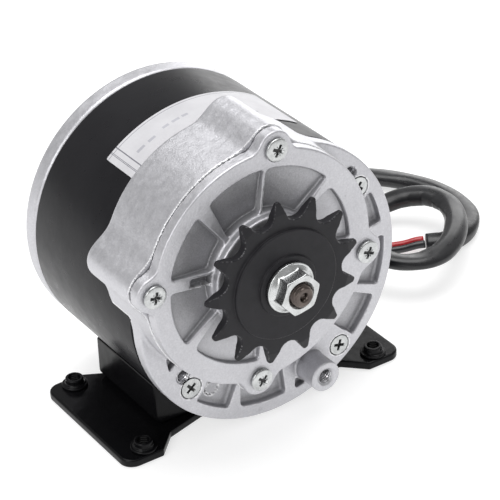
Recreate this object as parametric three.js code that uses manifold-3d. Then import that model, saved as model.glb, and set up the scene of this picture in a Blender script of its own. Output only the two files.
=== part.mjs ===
// Brushed DC gear motor: steel can on a welded foot plate, cast end bell with an
// eccentric spur gear case, ribbed gear cover and a chain sprocket on the output shaft.
// Millimetres, +Z up, output end toward -Y, origin on the underside of the foot plate.
import * as THREE from 'three';
import Module from 'manifold-3d';
import { mergeVertices } from 'three/addons/utils/BufferGeometryUtils.js';

const wasm = await Module();
wasm.setup();

// ---------- driving dimensions ----------
const AX = 0, AZ = 54.3;              // motor axis
const OX = -11.3, OZ = 71.3;          // output shaft axis
const CAN_R = 51, CAN_RI = 47.3, CAN_Y0 = -26.1, CAN_Y1 = 38.5;
const BELL_R = 51.3, FLANGE_Y0 = -31.5, FLANGE_Y1 = -26.4, SPIGOT_R = 47.0, SPIGOT_Y = -20.5;
const CASE_R = 42.5, CASE_RI = 39.0, CASE_Y0 = -40.9, CASE_Y1 = -14.2, FLOOR_Y = -24.5, LEDGE_Y = -27.9;
const COVER_Y0 = -45.5, COVER_Y1 = -41.2, COVER_R = 42.2;
const BOLTS = [[33.7, 44.1], [124.5, 44.2], [-138.9, 43.9], [-51.9, 45.2]];   // through bolts: angle, radius about the motor axis
const COVER_SCREWS = [[82.4, 42.3], [173, 42.3], [265.6, 41.9], [-11.2, 41.5]]; // angle, radius about the output axis
const TEETH = 13, PITCH = 12.7, TIP_R = 29.55, ROLLER_R = 3.97, SPROCKET_PHASE = 64.7;
const PLATE_T = 3, PLATE_X = 58, PLATE_Y = 28.3, HOLE_X = 48.4, HOLE_Y = 23.4;
const M1 = 0.7, Z1 = 9, Z2 = 44, M2 = 1.25, Z3 = 12, Z4 = 24;   // gear stages
const SLEEVE_R = 4.2, LEAD_R = 1.5;

const rad = (d) => d * Math.PI / 180;
const polar = (cx, cz, r, deg) => [cx + r * Math.cos(rad(deg)), cz + r * Math.sin(rad(deg))];
// intermediate axis from the two centre distances
const C1 = M1 * (Z1 + Z2) / 2, C2 = M2 * (Z3 + Z4) / 2;
const dMO = Math.hypot(OX - AX, OZ - AZ);
const aM = (C1 * C1 - C2 * C2 + dMO * dMO) / (2 * dMO), hM = Math.sqrt(C1 * C1 - aM * aM);
const ux = (OX - AX) / dMO, uz = (OZ - AZ) / dMO;
const PX = AX + aM * ux + hM * uz, PZ = AZ + aM * uz - hM * ux;

// ---------- helpers ----------
function toM(geo) {
  let g = geo.clone();
  g.deleteAttribute('normal'); g.deleteAttribute('uv');
  g = mergeVertices(g, 1e-4);
  const p = g.attributes.position.array, idx = Array.from(g.index.array), tri = [];
  for (let i = 0; i < idx.length; i += 3) {
    const [a, b, c] = [idx[i], idx[i + 1], idx[i + 2]];
    if (a !== b && b !== c && a !== c) tri.push(a, b, c);
  }
  let vol = 0;
  for (let i = 0; i < tri.length; i += 3) {
    const [a, b, c] = [tri[i] * 3, tri[i + 1] * 3, tri[i + 2] * 3];
    vol += p[a] * (p[b + 1] * p[c + 2] - p[b + 2] * p[c + 1]) - p[a + 1] * (p[b] * p[c + 2] - p[b + 2] * p[c]) + p[a + 2] * (p[b] * p[c + 1] - p[b + 1] * p[c]);
  }
  if (vol < 0) for (let i = 0; i < tri.length; i += 3) { const t = tri[i]; tri[i] = tri[i + 1]; tri[i + 1] = t; }
  return new wasm.Manifold(new wasm.Mesh({ numProp: 3, vertProperties: new Float32Array(p), triVerts: new Uint32Array(tri) }));
}
function toG(man) {
  const m = man.getMesh(), g = new THREE.BufferGeometry();
  g.setAttribute('position', new THREE.BufferAttribute(new Float32Array(m.vertProperties), 3));
  g.setIndex(Array.from(m.triVerts));
  g.computeVertexNormals();
  return g;
}
const facets = (n) => Math.max(12, 2 * Math.round(n * 0.25));        // facet count of a full turn
const cyl = (r, y0, y1, cx, cz, seg = 48, r2 = r) => {
  const g = new THREE.CylinderGeometry(r2, r, y1 - y0, facets(seg));       // r at y0, r2 at y1
  g.translate(cx, (y0 + y1) / 2, cz);
  return toM(g);
};
const box = (x0, x1, y0, y1, z0, z1) => {
  const g = new THREE.BoxGeometry(x1 - x0, y1 - y0, z1 - z0);
  g.translate((x0 + x1) / 2, (y0 + y1) / 2, (z0 + z1) / 2);
  return toM(g);
};
const lathe = (pts, cx, cz, seg = 48) => {                          // pts: [r, y]
  const g = new THREE.LatheGeometry(pts.map(([r, y]) => new THREE.Vector2(r, y)), facets(seg));
  g.translate(cx, 0, cz);
  return toM(g);
};
const ring = (ro, ri, y0, y1, cx, cz, seg = 48) => lathe([[ri, y0], [ro, y0], [ro, y1], [ri, y1], [ri, y0]], cx, cz, seg);
const extY = (pts, y0, y1, holes = []) => {                         // outline in X,Z pushed along Y
  const s = new THREE.Shape(pts.map(([x, z]) => new THREE.Vector2(x, z)));
  for (const h of holes) s.holes.push(new THREE.Path(h.map(([x, z]) => new THREE.Vector2(x, z))));
  const g = new THREE.ExtrudeGeometry(s, { depth: y1 - y0, bevelEnabled: false, steps: 1 });
  g.rotateX(Math.PI / 2); g.translate(0, y1, 0);
  return toM(g);
};
const sector = (ri, ro, a0, a1, y0, y1, cx, cz, n = 12) => {
  const pts = [];
  for (let i = 0; i <= n; i++) pts.push(polar(cx, cz, ro, a0 + (a1 - a0) * i / n));
  for (let i = n; i >= 0; i--) pts.push(polar(cx, cz, ri, a0 + (a1 - a0) * i / n));
  return extY(pts, y0, y1);
};
const group = new THREE.Group();
group.name = 'gear_motor';
const mats = {
  can: ['#26252a', 0.3, 0.35], alu: ['#b9b9c1', 0.45, 0.8], bracket: ['#0f0f12', 0.35, 0.3], zinc: ['#c9cbd0', 0.3, 0.9],
  black: ['#353439', 0.45, 0.4], steel: ['#8e8f96', 0.35, 0.9], shaft: ['#5c524e', 0.4, 0.85], label: ['#e2e1e6', 0.5, 0.0],
  copper: ['#a8552a', 0.35, 0.8], core: ['#6c6e73', 0.5, 0.7], magnet: ['#4a4a4e', 0.7, 0.3], phenolic: ['#7a4a2c', 0.6, 0.0],
  brass: ['#b08d4a', 0.35, 0.85], carbon: ['#2e2d2d', 0.7, 0.2], rubber: ['#1b1b1d', 0.7, 0.0], sleeve: ['#1c1c1f', 0.35, 0.0],
  red: ['#b01c24', 0.4, 0.0], wire: ['#18181a', 0.4, 0.0], nylon: ['#e8e6dd', 0.5, 0.0],
};
const add = (name, man, mat) => {
  const [c, r, m] = mats[mat];
  const g = man.isBufferGeometry ? man : toG(man);
  const mesh = new THREE.Mesh(g, new THREE.MeshStandardMaterial({ color: c, roughness: r, metalness: m, name: mat }));
  mesh.name = name;
  group.add(mesh);
};

// ---------- gears ----------
function gearOutline(cx, cz, m, z, phase, thin, addendum = 1) {
  const rp = m * z / 2, rb = rp * Math.cos(rad(20)), ra = rp + m * addendum, rf = rp - 1.25 * m;
  const inv = (a) => Math.tan(a) - a;
  const half = Math.PI / (2 * z) - thin / (2 * rp), pts = [];
  const r0 = Math.max(rb, rf);
  for (let k = 0; k < z; k++) {
    const c = rad(phase) + 2 * Math.PI * k / z;
    const fl = [];
    for (let i = 0; i <= 2; i++) {
      const r = r0 + (ra - r0) * i / 2, a = Math.acos(Math.min(1, rb / r));
      fl.push([r, half + inv(rad(20)) - inv(a)]);
    }
    if (rb > rf) fl.unshift([rf, fl[0][1]]);
    for (const [r, t] of fl) pts.push([cx + r * Math.cos(c - t), cz + r * Math.sin(c - t)]);
    for (const [r, t] of fl.slice().reverse()) pts.push([cx + r * Math.cos(c + t), cz + r * Math.sin(c + t)]);
  }
  return pts;
}
const angMP = Math.atan2(PZ - AZ, PX - AX) * 180 / Math.PI, angPO = Math.atan2(OZ - PZ, OX - PX) * 180 / Math.PI;

// ---------- steel can ----------
const grommetDir = [Math.cos(rad(-28)), Math.sin(rad(-28))];
const radialCyl = (r, from, to, y, deg, seg = 24) => {
  const g = new THREE.CylinderGeometry(r, r, to - from, seg);
  g.rotateZ(-Math.PI / 2);                       // axis to +X
  g.translate((from + to) / 2, 0, 0);
  g.rotateY(-rad(deg));
  g.translate(AX, y, AZ);
  return toM(g);
};
let can = ring(CAN_R, CAN_RI, CAN_Y0, CAN_Y1, AX, AZ, 96).subtract(radialCyl(5.0, 40, 60, 26.4, -28, 16));
add('motor_can', can, 'can');

// ---------- rear end cap ----------
let cap = lathe([[0, 33.6], [SPIGOT_R, 33.6], [SPIGOT_R, 38.8], [50.9, 38.8], [50.9, 44.2], [50.1, 45.6], [48.6, 46.2], [16.2, 46.2], [15.2, 46.8], [14.4, 50.2], [13.4, 51], [0, 51]], AX, AZ, 96);
cap = cap.subtract(cyl(41.3, 33, 43.4, AX, AZ, 72)).add(ring(13.6, 10.6, 42, 44, AX, AZ, 40));
cap = cap.subtract(cyl(11.2, 41.8, 49.4, AX, AZ, 40));
for (const [a, r] of BOLTS) { const [x, z] = polar(AX, AZ, r, a); cap = cap.subtract(cyl(2.15, 33, 43.2, x, z, 20)); }
for (let k = 0; k < 6; k++) cap = cap.subtract(sector(20, 39, 60 * k + 8, 60 * k + 52, 45.0, 47, AX, AZ, 6));
add('rear_end_cap', cap, 'alu');

// ---------- front end bell with gear case ----------
const canZone = cyl(BELL_R + 0.1, FLANGE_Y1 + 0.0, 20, AX, AZ, 96);
let outer = cyl(CASE_R, CASE_Y0, CASE_Y1, OX, OZ, 96);
COVER_SCREWS.forEach(([a, r], i) => {
  const [x, z] = polar(OX, OZ, r, a);
  outer = outer.add(cyl(6.6, CASE_Y0, i < 2 ? CASE_Y1 : FLANGE_Y1 - 0.2, x, z, 32));
  if (i < 2) { const [x2, z2] = polar(OX, OZ, r - 7, a); outer = outer.add(cyl(9.6, CASE_Y0, CASE_Y1, x2, z2, 32)); }
});
outer = outer.subtract(canZone);
let bell = cyl(BELL_R - 0.7, FLANGE_Y0, FLANGE_Y0 + 0.7, AX, AZ, 96, BELL_R).add(cyl(BELL_R, FLANGE_Y0 + 0.7, FLANGE_Y1, AX, AZ, 96));
const JP = [14.9, 16.0], JP_R = 5.7, JP_Y = -41.5;
// cast pockets between the spokes of the flange
let keep = cyl(CASE_R + 1.6, -40, -20, OX, OZ, 64);
for (const [a, r] of COVER_SCREWS.slice(2)) { const [x, z] = polar(OX, OZ, r, a); keep = keep.add(cyl(7.8, -40, -20, x, z, 24)); }
for (const [a, r] of BOLTS) { const [x, z] = polar(AX, AZ, r, a); keep = keep.add(cyl(5.4, -40, -20, x, z, 24)); }
keep = keep.add(cyl(JP_R + 0.6, -40, -20, JP[0], JP[1], 24));
const TAP = [[43, 45.2], [-147.1, 42.6]];
for (const [a, r] of TAP) { const [x, z] = polar(AX, AZ, r, a); keep = keep.add(cyl(3.6, -40, -20, x, z, 20)); }
// pocket between two side lines, each given by its angles at radii ra and rb; three.js turns it with the frame's axes
const wedge = (lo, hi, r0, r1, ra, rb, y0, y1, cx, cz, n = 8) => {
  const side = ([ta, tb], r) => {                        // point of the side line at radius r
    const [ax, az] = polar(0, 0, ra, ta), [bx, bz] = polar(0, 0, rb, tb), t = (r - rb) / (ra - rb);
    return Math.atan2(bz + (az - bz) * t, bx + (ax - bx) * t) * 180 / Math.PI;
  };
  const near = (a, b) => b + 360 * Math.round((a - b) / 360);
  const o0 = side(lo, r1), o1 = near(o0 + 20, side(hi, r1)), i0 = near(o0, side(lo, r0)), i1 = near(o1, side(hi, r0)), pts = [];
  for (let i = 0; i <= n; i++) pts.push(polar(cx, cz, r1, o0 + (o1 - o0) * i / n));
  for (let i = n; i >= 0; i--) pts.push(polar(cx, cz, r0, i0 + (i1 - i0) * i / n));
  return extY(pts, y0, y1);
};
const FL_POCKETS = [[[9.8, 9.8], [27, 27], 46.9], [[-20.5, -20.5], [2.8, 2.8], 47.4], [[-45.2, -45.2], [-25.4, -25.4], 47.2], [[-79.2, -75], [-66, -66], 47.0],
  [[-107.2, -111.8], [-84, -84], 46.3], [[-132.5, -132.5], [-113.6, -113.4], 46.8]];
for (const [lo, hi, ro] of FL_POCKETS) bell = bell.subtract(wedge(lo, hi, 34, ro, 47, 36, FLANGE_Y0 - 0.2, -28.5, AX, AZ).subtract(keep));
bell = bell.add(cyl(SPIGOT_R, FLANGE_Y1 - 0.5, SPIGOT_Y, AX, AZ, 96)).add(outer);
bell = bell.add(cyl(14.2, SPIGOT_Y - 1, -16.3, AX, AZ, 40)).add(cyl(10, SPIGOT_Y - 1, -18.6, OX, OZ, 36));
bell = bell.add(cyl(JP_R, JP_Y, -28, JP[0], JP[1], 32));
// gear room
bell = bell.subtract(cyl(CASE_RI, -42, LEDGE_Y, OX, OZ, 80));
bell = bell.subtract(cyl(CASE_RI, -30, FLOOR_Y, OX, OZ, 80).intersect(cyl(40.3, -30, FLOOR_Y, AX, AZ, 80)));
bell = bell.subtract(cyl(CASE_RI, -30, -17.4, OX, OZ, 80).subtract(cyl(54.4, -31, -10, AX, AZ, 80)));
bell = bell.subtract(cyl(11.15, -23.5, -15, AX, AZ, 40)).subtract(cyl(4.8, -26, -22, AX, AZ, 24));
bell = bell.subtract(cyl(8.15, -26, -19.8, OX, OZ, 32)).subtract(cyl(3.0, -26, -21.4, PX, PZ, 24));
COVER_SCREWS.forEach(([a, r]) => { const [x, z] = polar(OX, OZ, r, a); bell = bell.subtract(cyl(2.15, -42, -31.8, x, z, 20)); });
BOLTS.forEach(([a, r], i) => {
  const [x, z] = polar(AX, AZ, r, a), y = i === 1 ? LEDGE_Y : FLANGE_Y0;
  bell = bell.subtract(cyl(2.2, y - 1, -15, x, z, 20)).subtract(cyl(4.05, y + 0.45, y + 2.4, x, z, 28, 2.2)).subtract(cyl(4.05, y - 4, y + 0.46, x, z, 28));
});
for (const [a, r] of TAP) { const [x, z] = polar(AX, AZ, r, a); bell = bell.subtract(cyl(2.1, -33, -27.3, x, z, 20)); }
bell = bell.subtract(cyl(2.3, -48, -28.5, JP[0], JP[1], 24));
add('front_end_bell', bell, 'alu');

// ---------- gear cover ----------
let cover = cyl(COVER_R - 0.7, COVER_Y0, COVER_Y0 + 0.7, OX, OZ, 96, COVER_R).add(cyl(COVER_R, COVER_Y0 + 0.7, COVER_Y1, OX, OZ, 96));
for (const [a, r] of COVER_SCREWS) { const [x, z] = polar(OX, OZ, r, a); cover = cover.add(cyl(5.5, COVER_Y0, COVER_Y0 + 0.7, x, z, 32, 6.2)).add(cyl(6.2, COVER_Y0 + 0.7, COVER_Y1, x, z, 32)); }
const COVER_POCKETS = [[[-1, 5], [38, 44], 33.9], [[45, 46.5], [87.2, 90.7], 35.6], [[88.8, 93], [123.5, 131], 35.9], [[131.8, 135], [167.3, 163], 36.0],
  [[169.0, 165.6], [173.8, 175.0], 28.5], [[174.8, 176.3], [209.3, 206.4], 35.5], [[217, 209], [264, 266], 34.3]];
const floorCone = lathe([[0, -46], [37, -46], [37, -43.6], [20, -42.0], [0, -42.0]], OX, OZ, 80);   // pocket floors fall towards the boss
for (const [lo, hi, ro] of COVER_POCKETS) cover = cover.subtract(wedge(lo, hi, 20.4, ro, 35, 20, COVER_Y0 - 0.3, -42, OX, OZ).intersect(floorCone));
cover = cover.add(lathe([[0, -44], [20.6, -44], [20.3, -46.6], [19.4, -47.9], [17.8, -48.5], [0, -48.5]], OX, OZ, 64));
cover = cover.add(cyl(17.4, -42, -39.4, OX, OZ, 48)).add(cyl(5.2, -42, -39.4, PX, PZ, 28));
cover = cover.subtract(cyl(14.15, -47.3, -38, OX, OZ, 40)).subtract(cyl(10.4, -49, -46, OX, OZ, 40)).subtract(cyl(3.05, -41, -38, PX, PZ, 24));
for (const [a, r] of COVER_SCREWS) { const [x, z] = polar(OX, OZ, r, a); cover = cover.subtract(cyl(2.25, -46, -41, x, z, 20)); }
add('gear_cover', cover, 'alu');

// ---------- screws ----------
COVER_SCREWS.forEach(([a, r], i) => {
  const [x, z] = polar(OX, OZ, r, a);
  const s = lathe([[0, -47.4], [2.9, -47.2], [3.8, -46.7], [4.1, -45.75], [1.95, -45.75], [1.95, -32.0], [0, -32.0]], x, z, 28);
  add('cover_screw_' + (i + 1), s, 'zinc');
});
BOLTS.forEach(([a, r], i) => {
  const [x, z] = polar(AX, AZ, r, a), y = i === 1 ? LEDGE_Y : FLANGE_Y0;
  const s = lathe([[0, y + 0.05], [3.75, y + 0.05], [3.75, y + 0.35], [1.95, y + 2.1], [1.95, 43.0], [0, 43.0]], x, z, 28);
  add('through_bolt_' + (i + 1), s, 'zinc');
});

// ---------- foot plate, saddle webs, clinch nuts ----------
const plateOutline = () => {
  const s = new THREE.Shape(), X = PLATE_X, Y = PLATE_Y, c = 5;
  s.moveTo(-X + c, -Y); s.lineTo(-43.5, -Y); s.lineTo(-36, -20.8); s.lineTo(-21, -16.8); s.lineTo(21, -16.8); s.lineTo(36, -20.8); s.lineTo(43.5, -Y);
  s.lineTo(X - c, -Y); s.absarc(X - c, -Y + c, c, -Math.PI / 2, 0, false); s.lineTo(X, Y - c); s.absarc(X - c, Y - c, c, 0, Math.PI / 2, false);
  s.lineTo(43.5, Y); s.lineTo(36, 24.2); s.lineTo(-36, 24.2); s.lineTo(-43.5, Y);
  s.lineTo(-X + c, Y); s.absarc(-X + c, Y - c, c, Math.PI / 2, Math.PI, false); s.lineTo(-X, -Y + c); s.absarc(-X + c, -Y + c, c, Math.PI, 1.5 * Math.PI, false);
  return s;
};
const HOLES = [[-HOLE_X, -HOLE_Y], [HOLE_X, -HOLE_Y], [-HOLE_X, HOLE_Y], [HOLE_X, HOLE_Y]];
{
  const s = plateOutline();
  for (const [x, y] of HOLES) { const p = new THREE.Path(); p.absarc(x, y, 2.7, 0, 2 * Math.PI, true); s.holes.push(p); }
  const g = new THREE.ExtrudeGeometry(s, { depth: PLATE_T - 0.8, bevelEnabled: true, bevelThickness: 0.4, bevelSize: 0.4, bevelOffset: -0.4, bevelSegments: 1, curveSegments: 5 });
  g.translate(0, 0, 0.4);
  add('base_plate', toM(g), 'bracket');
}
for (const [name, s] of [['saddle_web_left', -1], ['saddle_web_right', 1]]) {
  const pts = [[s * 22, 3.25], [s * 36.5, 3.25], [s * 38.6, 5.2]];
  for (let i = 0; i <= 8; i++) { const a = -41.5 - (65.2 - 41.5) * i / 8; pts.push([s * 51.3 * Math.cos(rad(a)), AZ + 51.3 * Math.sin(rad(a))]); }
  add(name, extY(pts, -15.6, 23.2), 'bracket');
}
HOLES.forEach(([x, y], i) => {
  const g = new THREE.LatheGeometry([[2.1, 3.15], [4.7, 3.15], [4.5, 3.8], [3.5, 4.6], [3.1, 6.4], [2.1, 6.4], [2.1, 3.15]].map(([r, h]) => new THREE.Vector2(r, h)), 16);
  g.rotateX(Math.PI / 2);          // lathe axis to Z
  g.translate(x, y, 0);
  add('clinch_nut_' + (i + 1), toM(g), 'bracket');
});

// ---------- label on the can ----------
add('rating_label', sector(CAN_R + 0.12, CAN_R + 0.37, 59, 131, -11.5, 14.5, AX, AZ, 24), 'label');

// ---------- output shaft group ----------
let oshaft = lathe([[0, -67.9], [2.9, -67.9], [3.8, -67.1], [3.8, -58.4], [5.0, -58.2], [5.0, -48.3], [5.85, -48.3], [5.85, -32.2], [6.2, -32.2], [6.2, -25.1], [3.85, -24.8], [3.85, -20.2], [3.4, -19.95], [0, -19.95]], OX, OZ, 36);
oshaft = oshaft.subtract(lathe([[0, -69], [1.5, -69], [0.9, -66.8], [0, -66.2]], OX, OZ, 16));
add('output_shaft', oshaft, 'shaft');
add('output_gear', extY(gearOutline(OX, OZ, M2, Z4, angPO + 180 + 180 / Z4, 0.22), -38.9, -32.4).subtract(cyl(6.0, -40, -30, OX, OZ, 36)), 'steel');
function sprocketOutline() {
  const rp = PITCH / 2 / Math.sin(Math.PI / TEETH), pts = [];
  for (let k = 0; k < TEETH; k++) {
    const t = rad(SPROCKET_PHASE) + 2 * Math.PI * k / TEETH, g = t + Math.PI / TEETH;   // tooth k, then the gap after it
    const P = (r, a) => [r * Math.cos(a), r * Math.sin(a)];
    const w = 0.75 / TIP_R;
    pts.push(P(TIP_R - 0.35, t - w - 0.012), P(TIP_R, t - w * 0.4), P(TIP_R, t + w * 0.4), P(TIP_R - 0.35, t + w + 0.012));
    const [gx, gy] = P(rp, g), dir = g + Math.PI;
    pts.push(P(TIP_R - 1.7, t + 1.42 / (TIP_R - 1.7)));
    for (let i = 0; i <= 5; i++) { const a = dir + rad(62) - rad(124) * i / 5; pts.push([gx + ROLLER_R * Math.cos(a), gy + ROLLER_R * Math.sin(a)]); }
    pts.push(P(TIP_R - 1.7, t + 2 * Math.PI / TEETH - 1.42 / (TIP_R - 1.7)));
  }
  return pts.map(([x, z]) => [OX + x, OZ + z]);
}
let spr = extY(sprocketOutline(), -57, -54).intersect(lathe([[0, -57.2], [25.5, -57.2], [30, -56.1], [30, -54.9], [25.5, -53.8], [0, -53.8]], OX, OZ, 78));
spr = spr.add(lathe([[0, -55], [19.5, -55], [19.5, -57.8], [19.1, -58.2], [10.8, -58.2], [10.8, -58.7], [10.4, -59.1], [0, -59.1]], OX, OZ, 64)).add(cyl(9, -55, -48.6, OX, OZ, 40));
spr = spr.subtract(cyl(5.15, -60, -48, OX, OZ, 32));
add('sprocket', spr, 'black');
const hexPts = (r, ph) => [0, 1, 2, 3, 4, 5].map((k) => polar(OX, OZ, r, ph + 60 * k));
let nut = extY(hexPts(7.5, 10.7), -66.2, -60).intersect(lathe([[0, -66.2], [6.6, -66.2], [7.6, -65.6], [7.6, -60], [0, -60]], OX, OZ, 48));
nut = nut.add(lathe([[0, -59.25], [8.8, -59.25], [8.9, -60.0], [7.0, -61.4], [0, -61.4]], OX, OZ, 48)).subtract(cyl(3.95, -67, -59, OX, OZ, 32)).subtract(cyl(4.9, -67, -65.3, OX, OZ, 32, 3.95));
add('flange_nut', nut, 'zinc');
const bearing = (name, ro, ri, y0, y1, cx, cz) => add(name, lathe([[ri, y0], [ro, y0], [ro, y1], [ri, y1], [ri, y0]], cx, cz, 40), 'steel');
bearing('output_bearing_front', 14.0, 6.0, -47.1, -39.2, OX, OZ);
bearing('output_bearing_rear', 8.0, 4.0, -24.5, -20.0, OX, OZ);

// ---------- intermediate shaft ----------
add('intermediate_pin', cyl(2.85, -40.8, -21.6, PX, PZ, 28), 'steel');
let inter = extY(gearOutline(PX, PZ, M1, Z2, angMP + 180 + 180 / Z2, 0.18, 0.9), -31.8, -26.2);
inter = inter.add(extY(gearOutline(PX, PZ, M2, Z3, angPO, 0.22), -38.9, -31.0)).subtract(cyl(3.0, -40, -25, PX, PZ, 28));
add('intermediate_gear', inter, 'steel');

// ---------- armature ----------
let ash = lathe([[0, -25.9], [3.85, -25.9], [3.85, -16.2], [5.0, -16.0], [5.0, 41.8], [3.85, 42.0], [3.85, 49.0], [0, 49.0]], AX, AZ, 32);
ash = ash.add(extY(gearOutline(AX, AZ, M1, Z1, angMP, 0.22), -32.0, -25.0));
add('armature_shaft', ash, 'steel');
const NS = 12;
const slots = (w, y0, y1, r0, r1) => {
  let s = null;
  for (let k = 0; k < NS; k++) {
    const g = new THREE.BoxGeometry(r1 - r0, y1 - y0, w); g.translate((r0 + r1) / 2, (y0 + y1) / 2, 0); g.rotateY(-rad(30 * k + 15)); g.translate(AX, 0, AZ);
    s = s ? s.add(toM(g)) : toM(g);
  }
  return s;
};
add('armature_core', ring(38.3, 5.15, -14, 18, AX, AZ, 72).subtract(slots(6.4, -15, 19, 19.8, 34.4)).subtract(slots(2.2, -15, 19, 34, 40)), 'core');
const endTurn = (y0, y1, s) => lathe([[18.5, y0], [33.5, y0], [35.5, y0 + s * 1.6], [35.0, y1 - s * 1.6], [31, y1], [21, y1], [17.5, y1 - s * 1.6], [17.3, y0 + s * 1.2], [18.5, y0]], AX, AZ, 36);
add('armature_windings', slots(6.0, -14.8, 18.8, 20.0, 34.2).add(endTurn(-14.3, -18.2, -1)).add(endTurn(18.3, 24.4, 1)), 'copper');
{
  const pts = [];
  for (let k = 0; k < 24; k++) for (const [r, d] of [[14, 0.7], [14, 14.3], [13.3, 14.31], [13.3, 0.69 + 15]]) pts.push(polar(AX, AZ, r, 15 * k + d));
  add('commutator', extY(pts, 26.2, 38.9).subtract(cyl(5.15, 25, 40, AX, AZ, 32)).add(ring(15.6, 5.15, 24.7, 26.4, AX, AZ, 36)), 'copper');
}
bearing('armature_bearing_front', 11.0, 4.0, -23.4, -16.5, AX, AZ);
bearing('armature_bearing_rear', 11.0, 4.0, 42.2, 49.1, AX, AZ);
[-9, 79.5, 172.5, 264].forEach((a, i) => add('magnet_' + (i + 1), sector(39.5, 47.1, a - 31, a + 31, -17, 20, AX, AZ, 10), 'magnet'));

// ---------- brush gear ----------
add('brush_plate', ring(40.6, 16.2, 39.6, 41.2, AX, AZ, 56), 'phenolic');
const spin = (man0, k) => {              // turn a geometry about the motor axis by k quarter turns
  const g = toG(man0); g.translate(-AX, 0, -AZ); g.rotateY(-k * Math.PI / 2); g.translate(AX, 0, AZ);
  return toM(g);
};
const spring = new THREE.ExtrudeGeometry(new THREE.Shape(Array.from({ length: 4 }, (_, i) => new THREE.Vector2(0.35 * Math.cos(i * 1.5708), 0.35 * Math.sin(i * 1.5708)))), {
  steps: 28, bevelEnabled: false,
  extrudePath: new THREE.CatmullRomCurve3(Array.from({ length: 29 }, (_, i) => new THREE.Vector3(28.9 + 6.6 * i / 28, 34 + 2.4 * Math.cos(i * Math.PI / 3.5), AZ + 2.4 * Math.sin(i * Math.PI / 3.5)))),
});
for (let k = 0; k < 4; k++) {
  add('brush_holder_' + (k + 1), spin(box(16.4, 37.4, 28.9, 39.3, AZ - 4.7, AZ + 4.7).subtract(box(15, 36.3, 29.8, 38.2, AZ - 3.8, AZ + 3.8)), k), 'brass');
  add('brush_' + (k + 1), spin(box(14.3, 28.2, 30.1, 37.9, AZ - 3.5, AZ + 3.5).subtract(cyl(14.25, 29, 39, AX, AZ, 48)), k), 'carbon');
  add('brush_spring_' + (k + 1), spin(toM(spring), k), 'steel');
}

// ---------- cable: grommet, sleeve, two leads, connector ----------
{
  const g = new THREE.LatheGeometry([[0, 45.0], [5.6, 45.0], [5.6, 46.4], [4.4, 46.5], [4.4, 51.5], [6.6, 51.6], [6.6, 52.6], [5.2, 55.2], [0, 55.2]].map(([r, h]) => new THREE.Vector2(r, h)), 16);
  g.rotateZ(-Math.PI / 2); g.rotateY(-rad(-28)); g.translate(AX, 26.4, AZ);
  add('cable_grommet', toM(g), 'rubber');
}
const G0 = (r) => new THREE.Vector3(AX + r * grommetDir[0], 26.4, AZ + r * grommetDir[1]);
const V = (a) => new THREE.Vector3(...a);
const SLEEVE_PATH = [G0(55.5), G0(62), ...[[64, 25.6, 20.2], [73, 21.5, 16.2], [79, 14, 14.4], [83.5, 6.5, 14], [90, 2.2, 14], [98, 2.0, 14.1], [106.5, 5.6, 14.2], [114.8, 12.4, 14], [121.5, 21, 13.8], [125.6, 31.5, 13.6], [124.2, 42, 12.6], [117, 50, 10.4], [107, 54.5, 7.4], [96, 57.5, 5], [84, 61.5, 4.4], [73, 69, 4.4], [67.5, 81, 4.4], [72.5, 93.5, 4.4], [85, 100.3, 4.4], [99, 99, 4.4], [112, 92, 4.4], [124, 82, 4.4], [134, 69.5, 4.4], [139.6, 56, 4.4], [140.3, 43, 4.4], [136.5, 31.5, 4.4], [128, 23, 4.4], [117.5, 21.2, 4.4], [110.5, 25.0, 4.4]].map(V)];
const SLEEVE_CURVE = new THREE.CatmullRomCurve3(SLEEVE_PATH, false, 'centripetal');
const tube = (curve, r, sides, steps) => {
  const s = new THREE.Shape(Array.from({ length: sides }, (_, i) => new THREE.Vector2(r * Math.cos(2 * Math.PI * i / sides), r * Math.sin(2 * Math.PI * i / sides))));
  return toM(new THREE.ExtrudeGeometry(s, { steps, extrudePath: curve, bevelEnabled: false }));
};
add('cable_sleeve', tube(SLEEVE_CURVE, SLEEVE_R, 8, 48), 'sleeve');
const leadPath = (o, z0) => {
  // centre line of the pair, pushed sideways by o
  const base = [[109.75, 25.41, z0], [107.4, 26.7, 4.2], [103.2, 29.6, 2.7], [98, 33.3, 1.7], [92.5, 36.2, 1.65], [86, 38.2, 1.65], [77, 42.2, 1.65], [68.5, 48.5, 1.65], [59.5, 55.3, 1.65], [49, 60, 1.65], [38, 62, 1.65], [26.6, 62, 2.6], [20.3, 62, 3.4]].map(V);
  return base.map((p, i) => {
    const a = base[Math.max(0, i - 1)], b = base[Math.min(base.length - 1, i + 1)];
    const t = b.clone().sub(a).setZ(0).normalize();
    return new THREE.Vector3(p.x - t.y * o, p.y + t.x * o, p.z);
  });
};
add('lead_red', tube(new THREE.CatmullRomCurve3(leadPath(-1.7, 4.4), false, 'centripetal'), LEAD_R, 8, 30), 'red');
add('lead_black', tube(new THREE.CatmullRomCurve3(leadPath(1.7, 4.4), false, 'centripetal'), LEAD_R, 8, 30), 'wire');
add('connector', box(4, 20, 57.6, 66.4, 0.1, 6.7).add(box(-2, 5, 58.4, 65.6, 0.7, 6.1)).add(box(5, 13, 60.6, 63.4, 6.6, 7.5)), 'nylon');

export default group;
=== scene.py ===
import bpy, math
import numpy as np
from mathutils import Matrix, Vector


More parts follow.
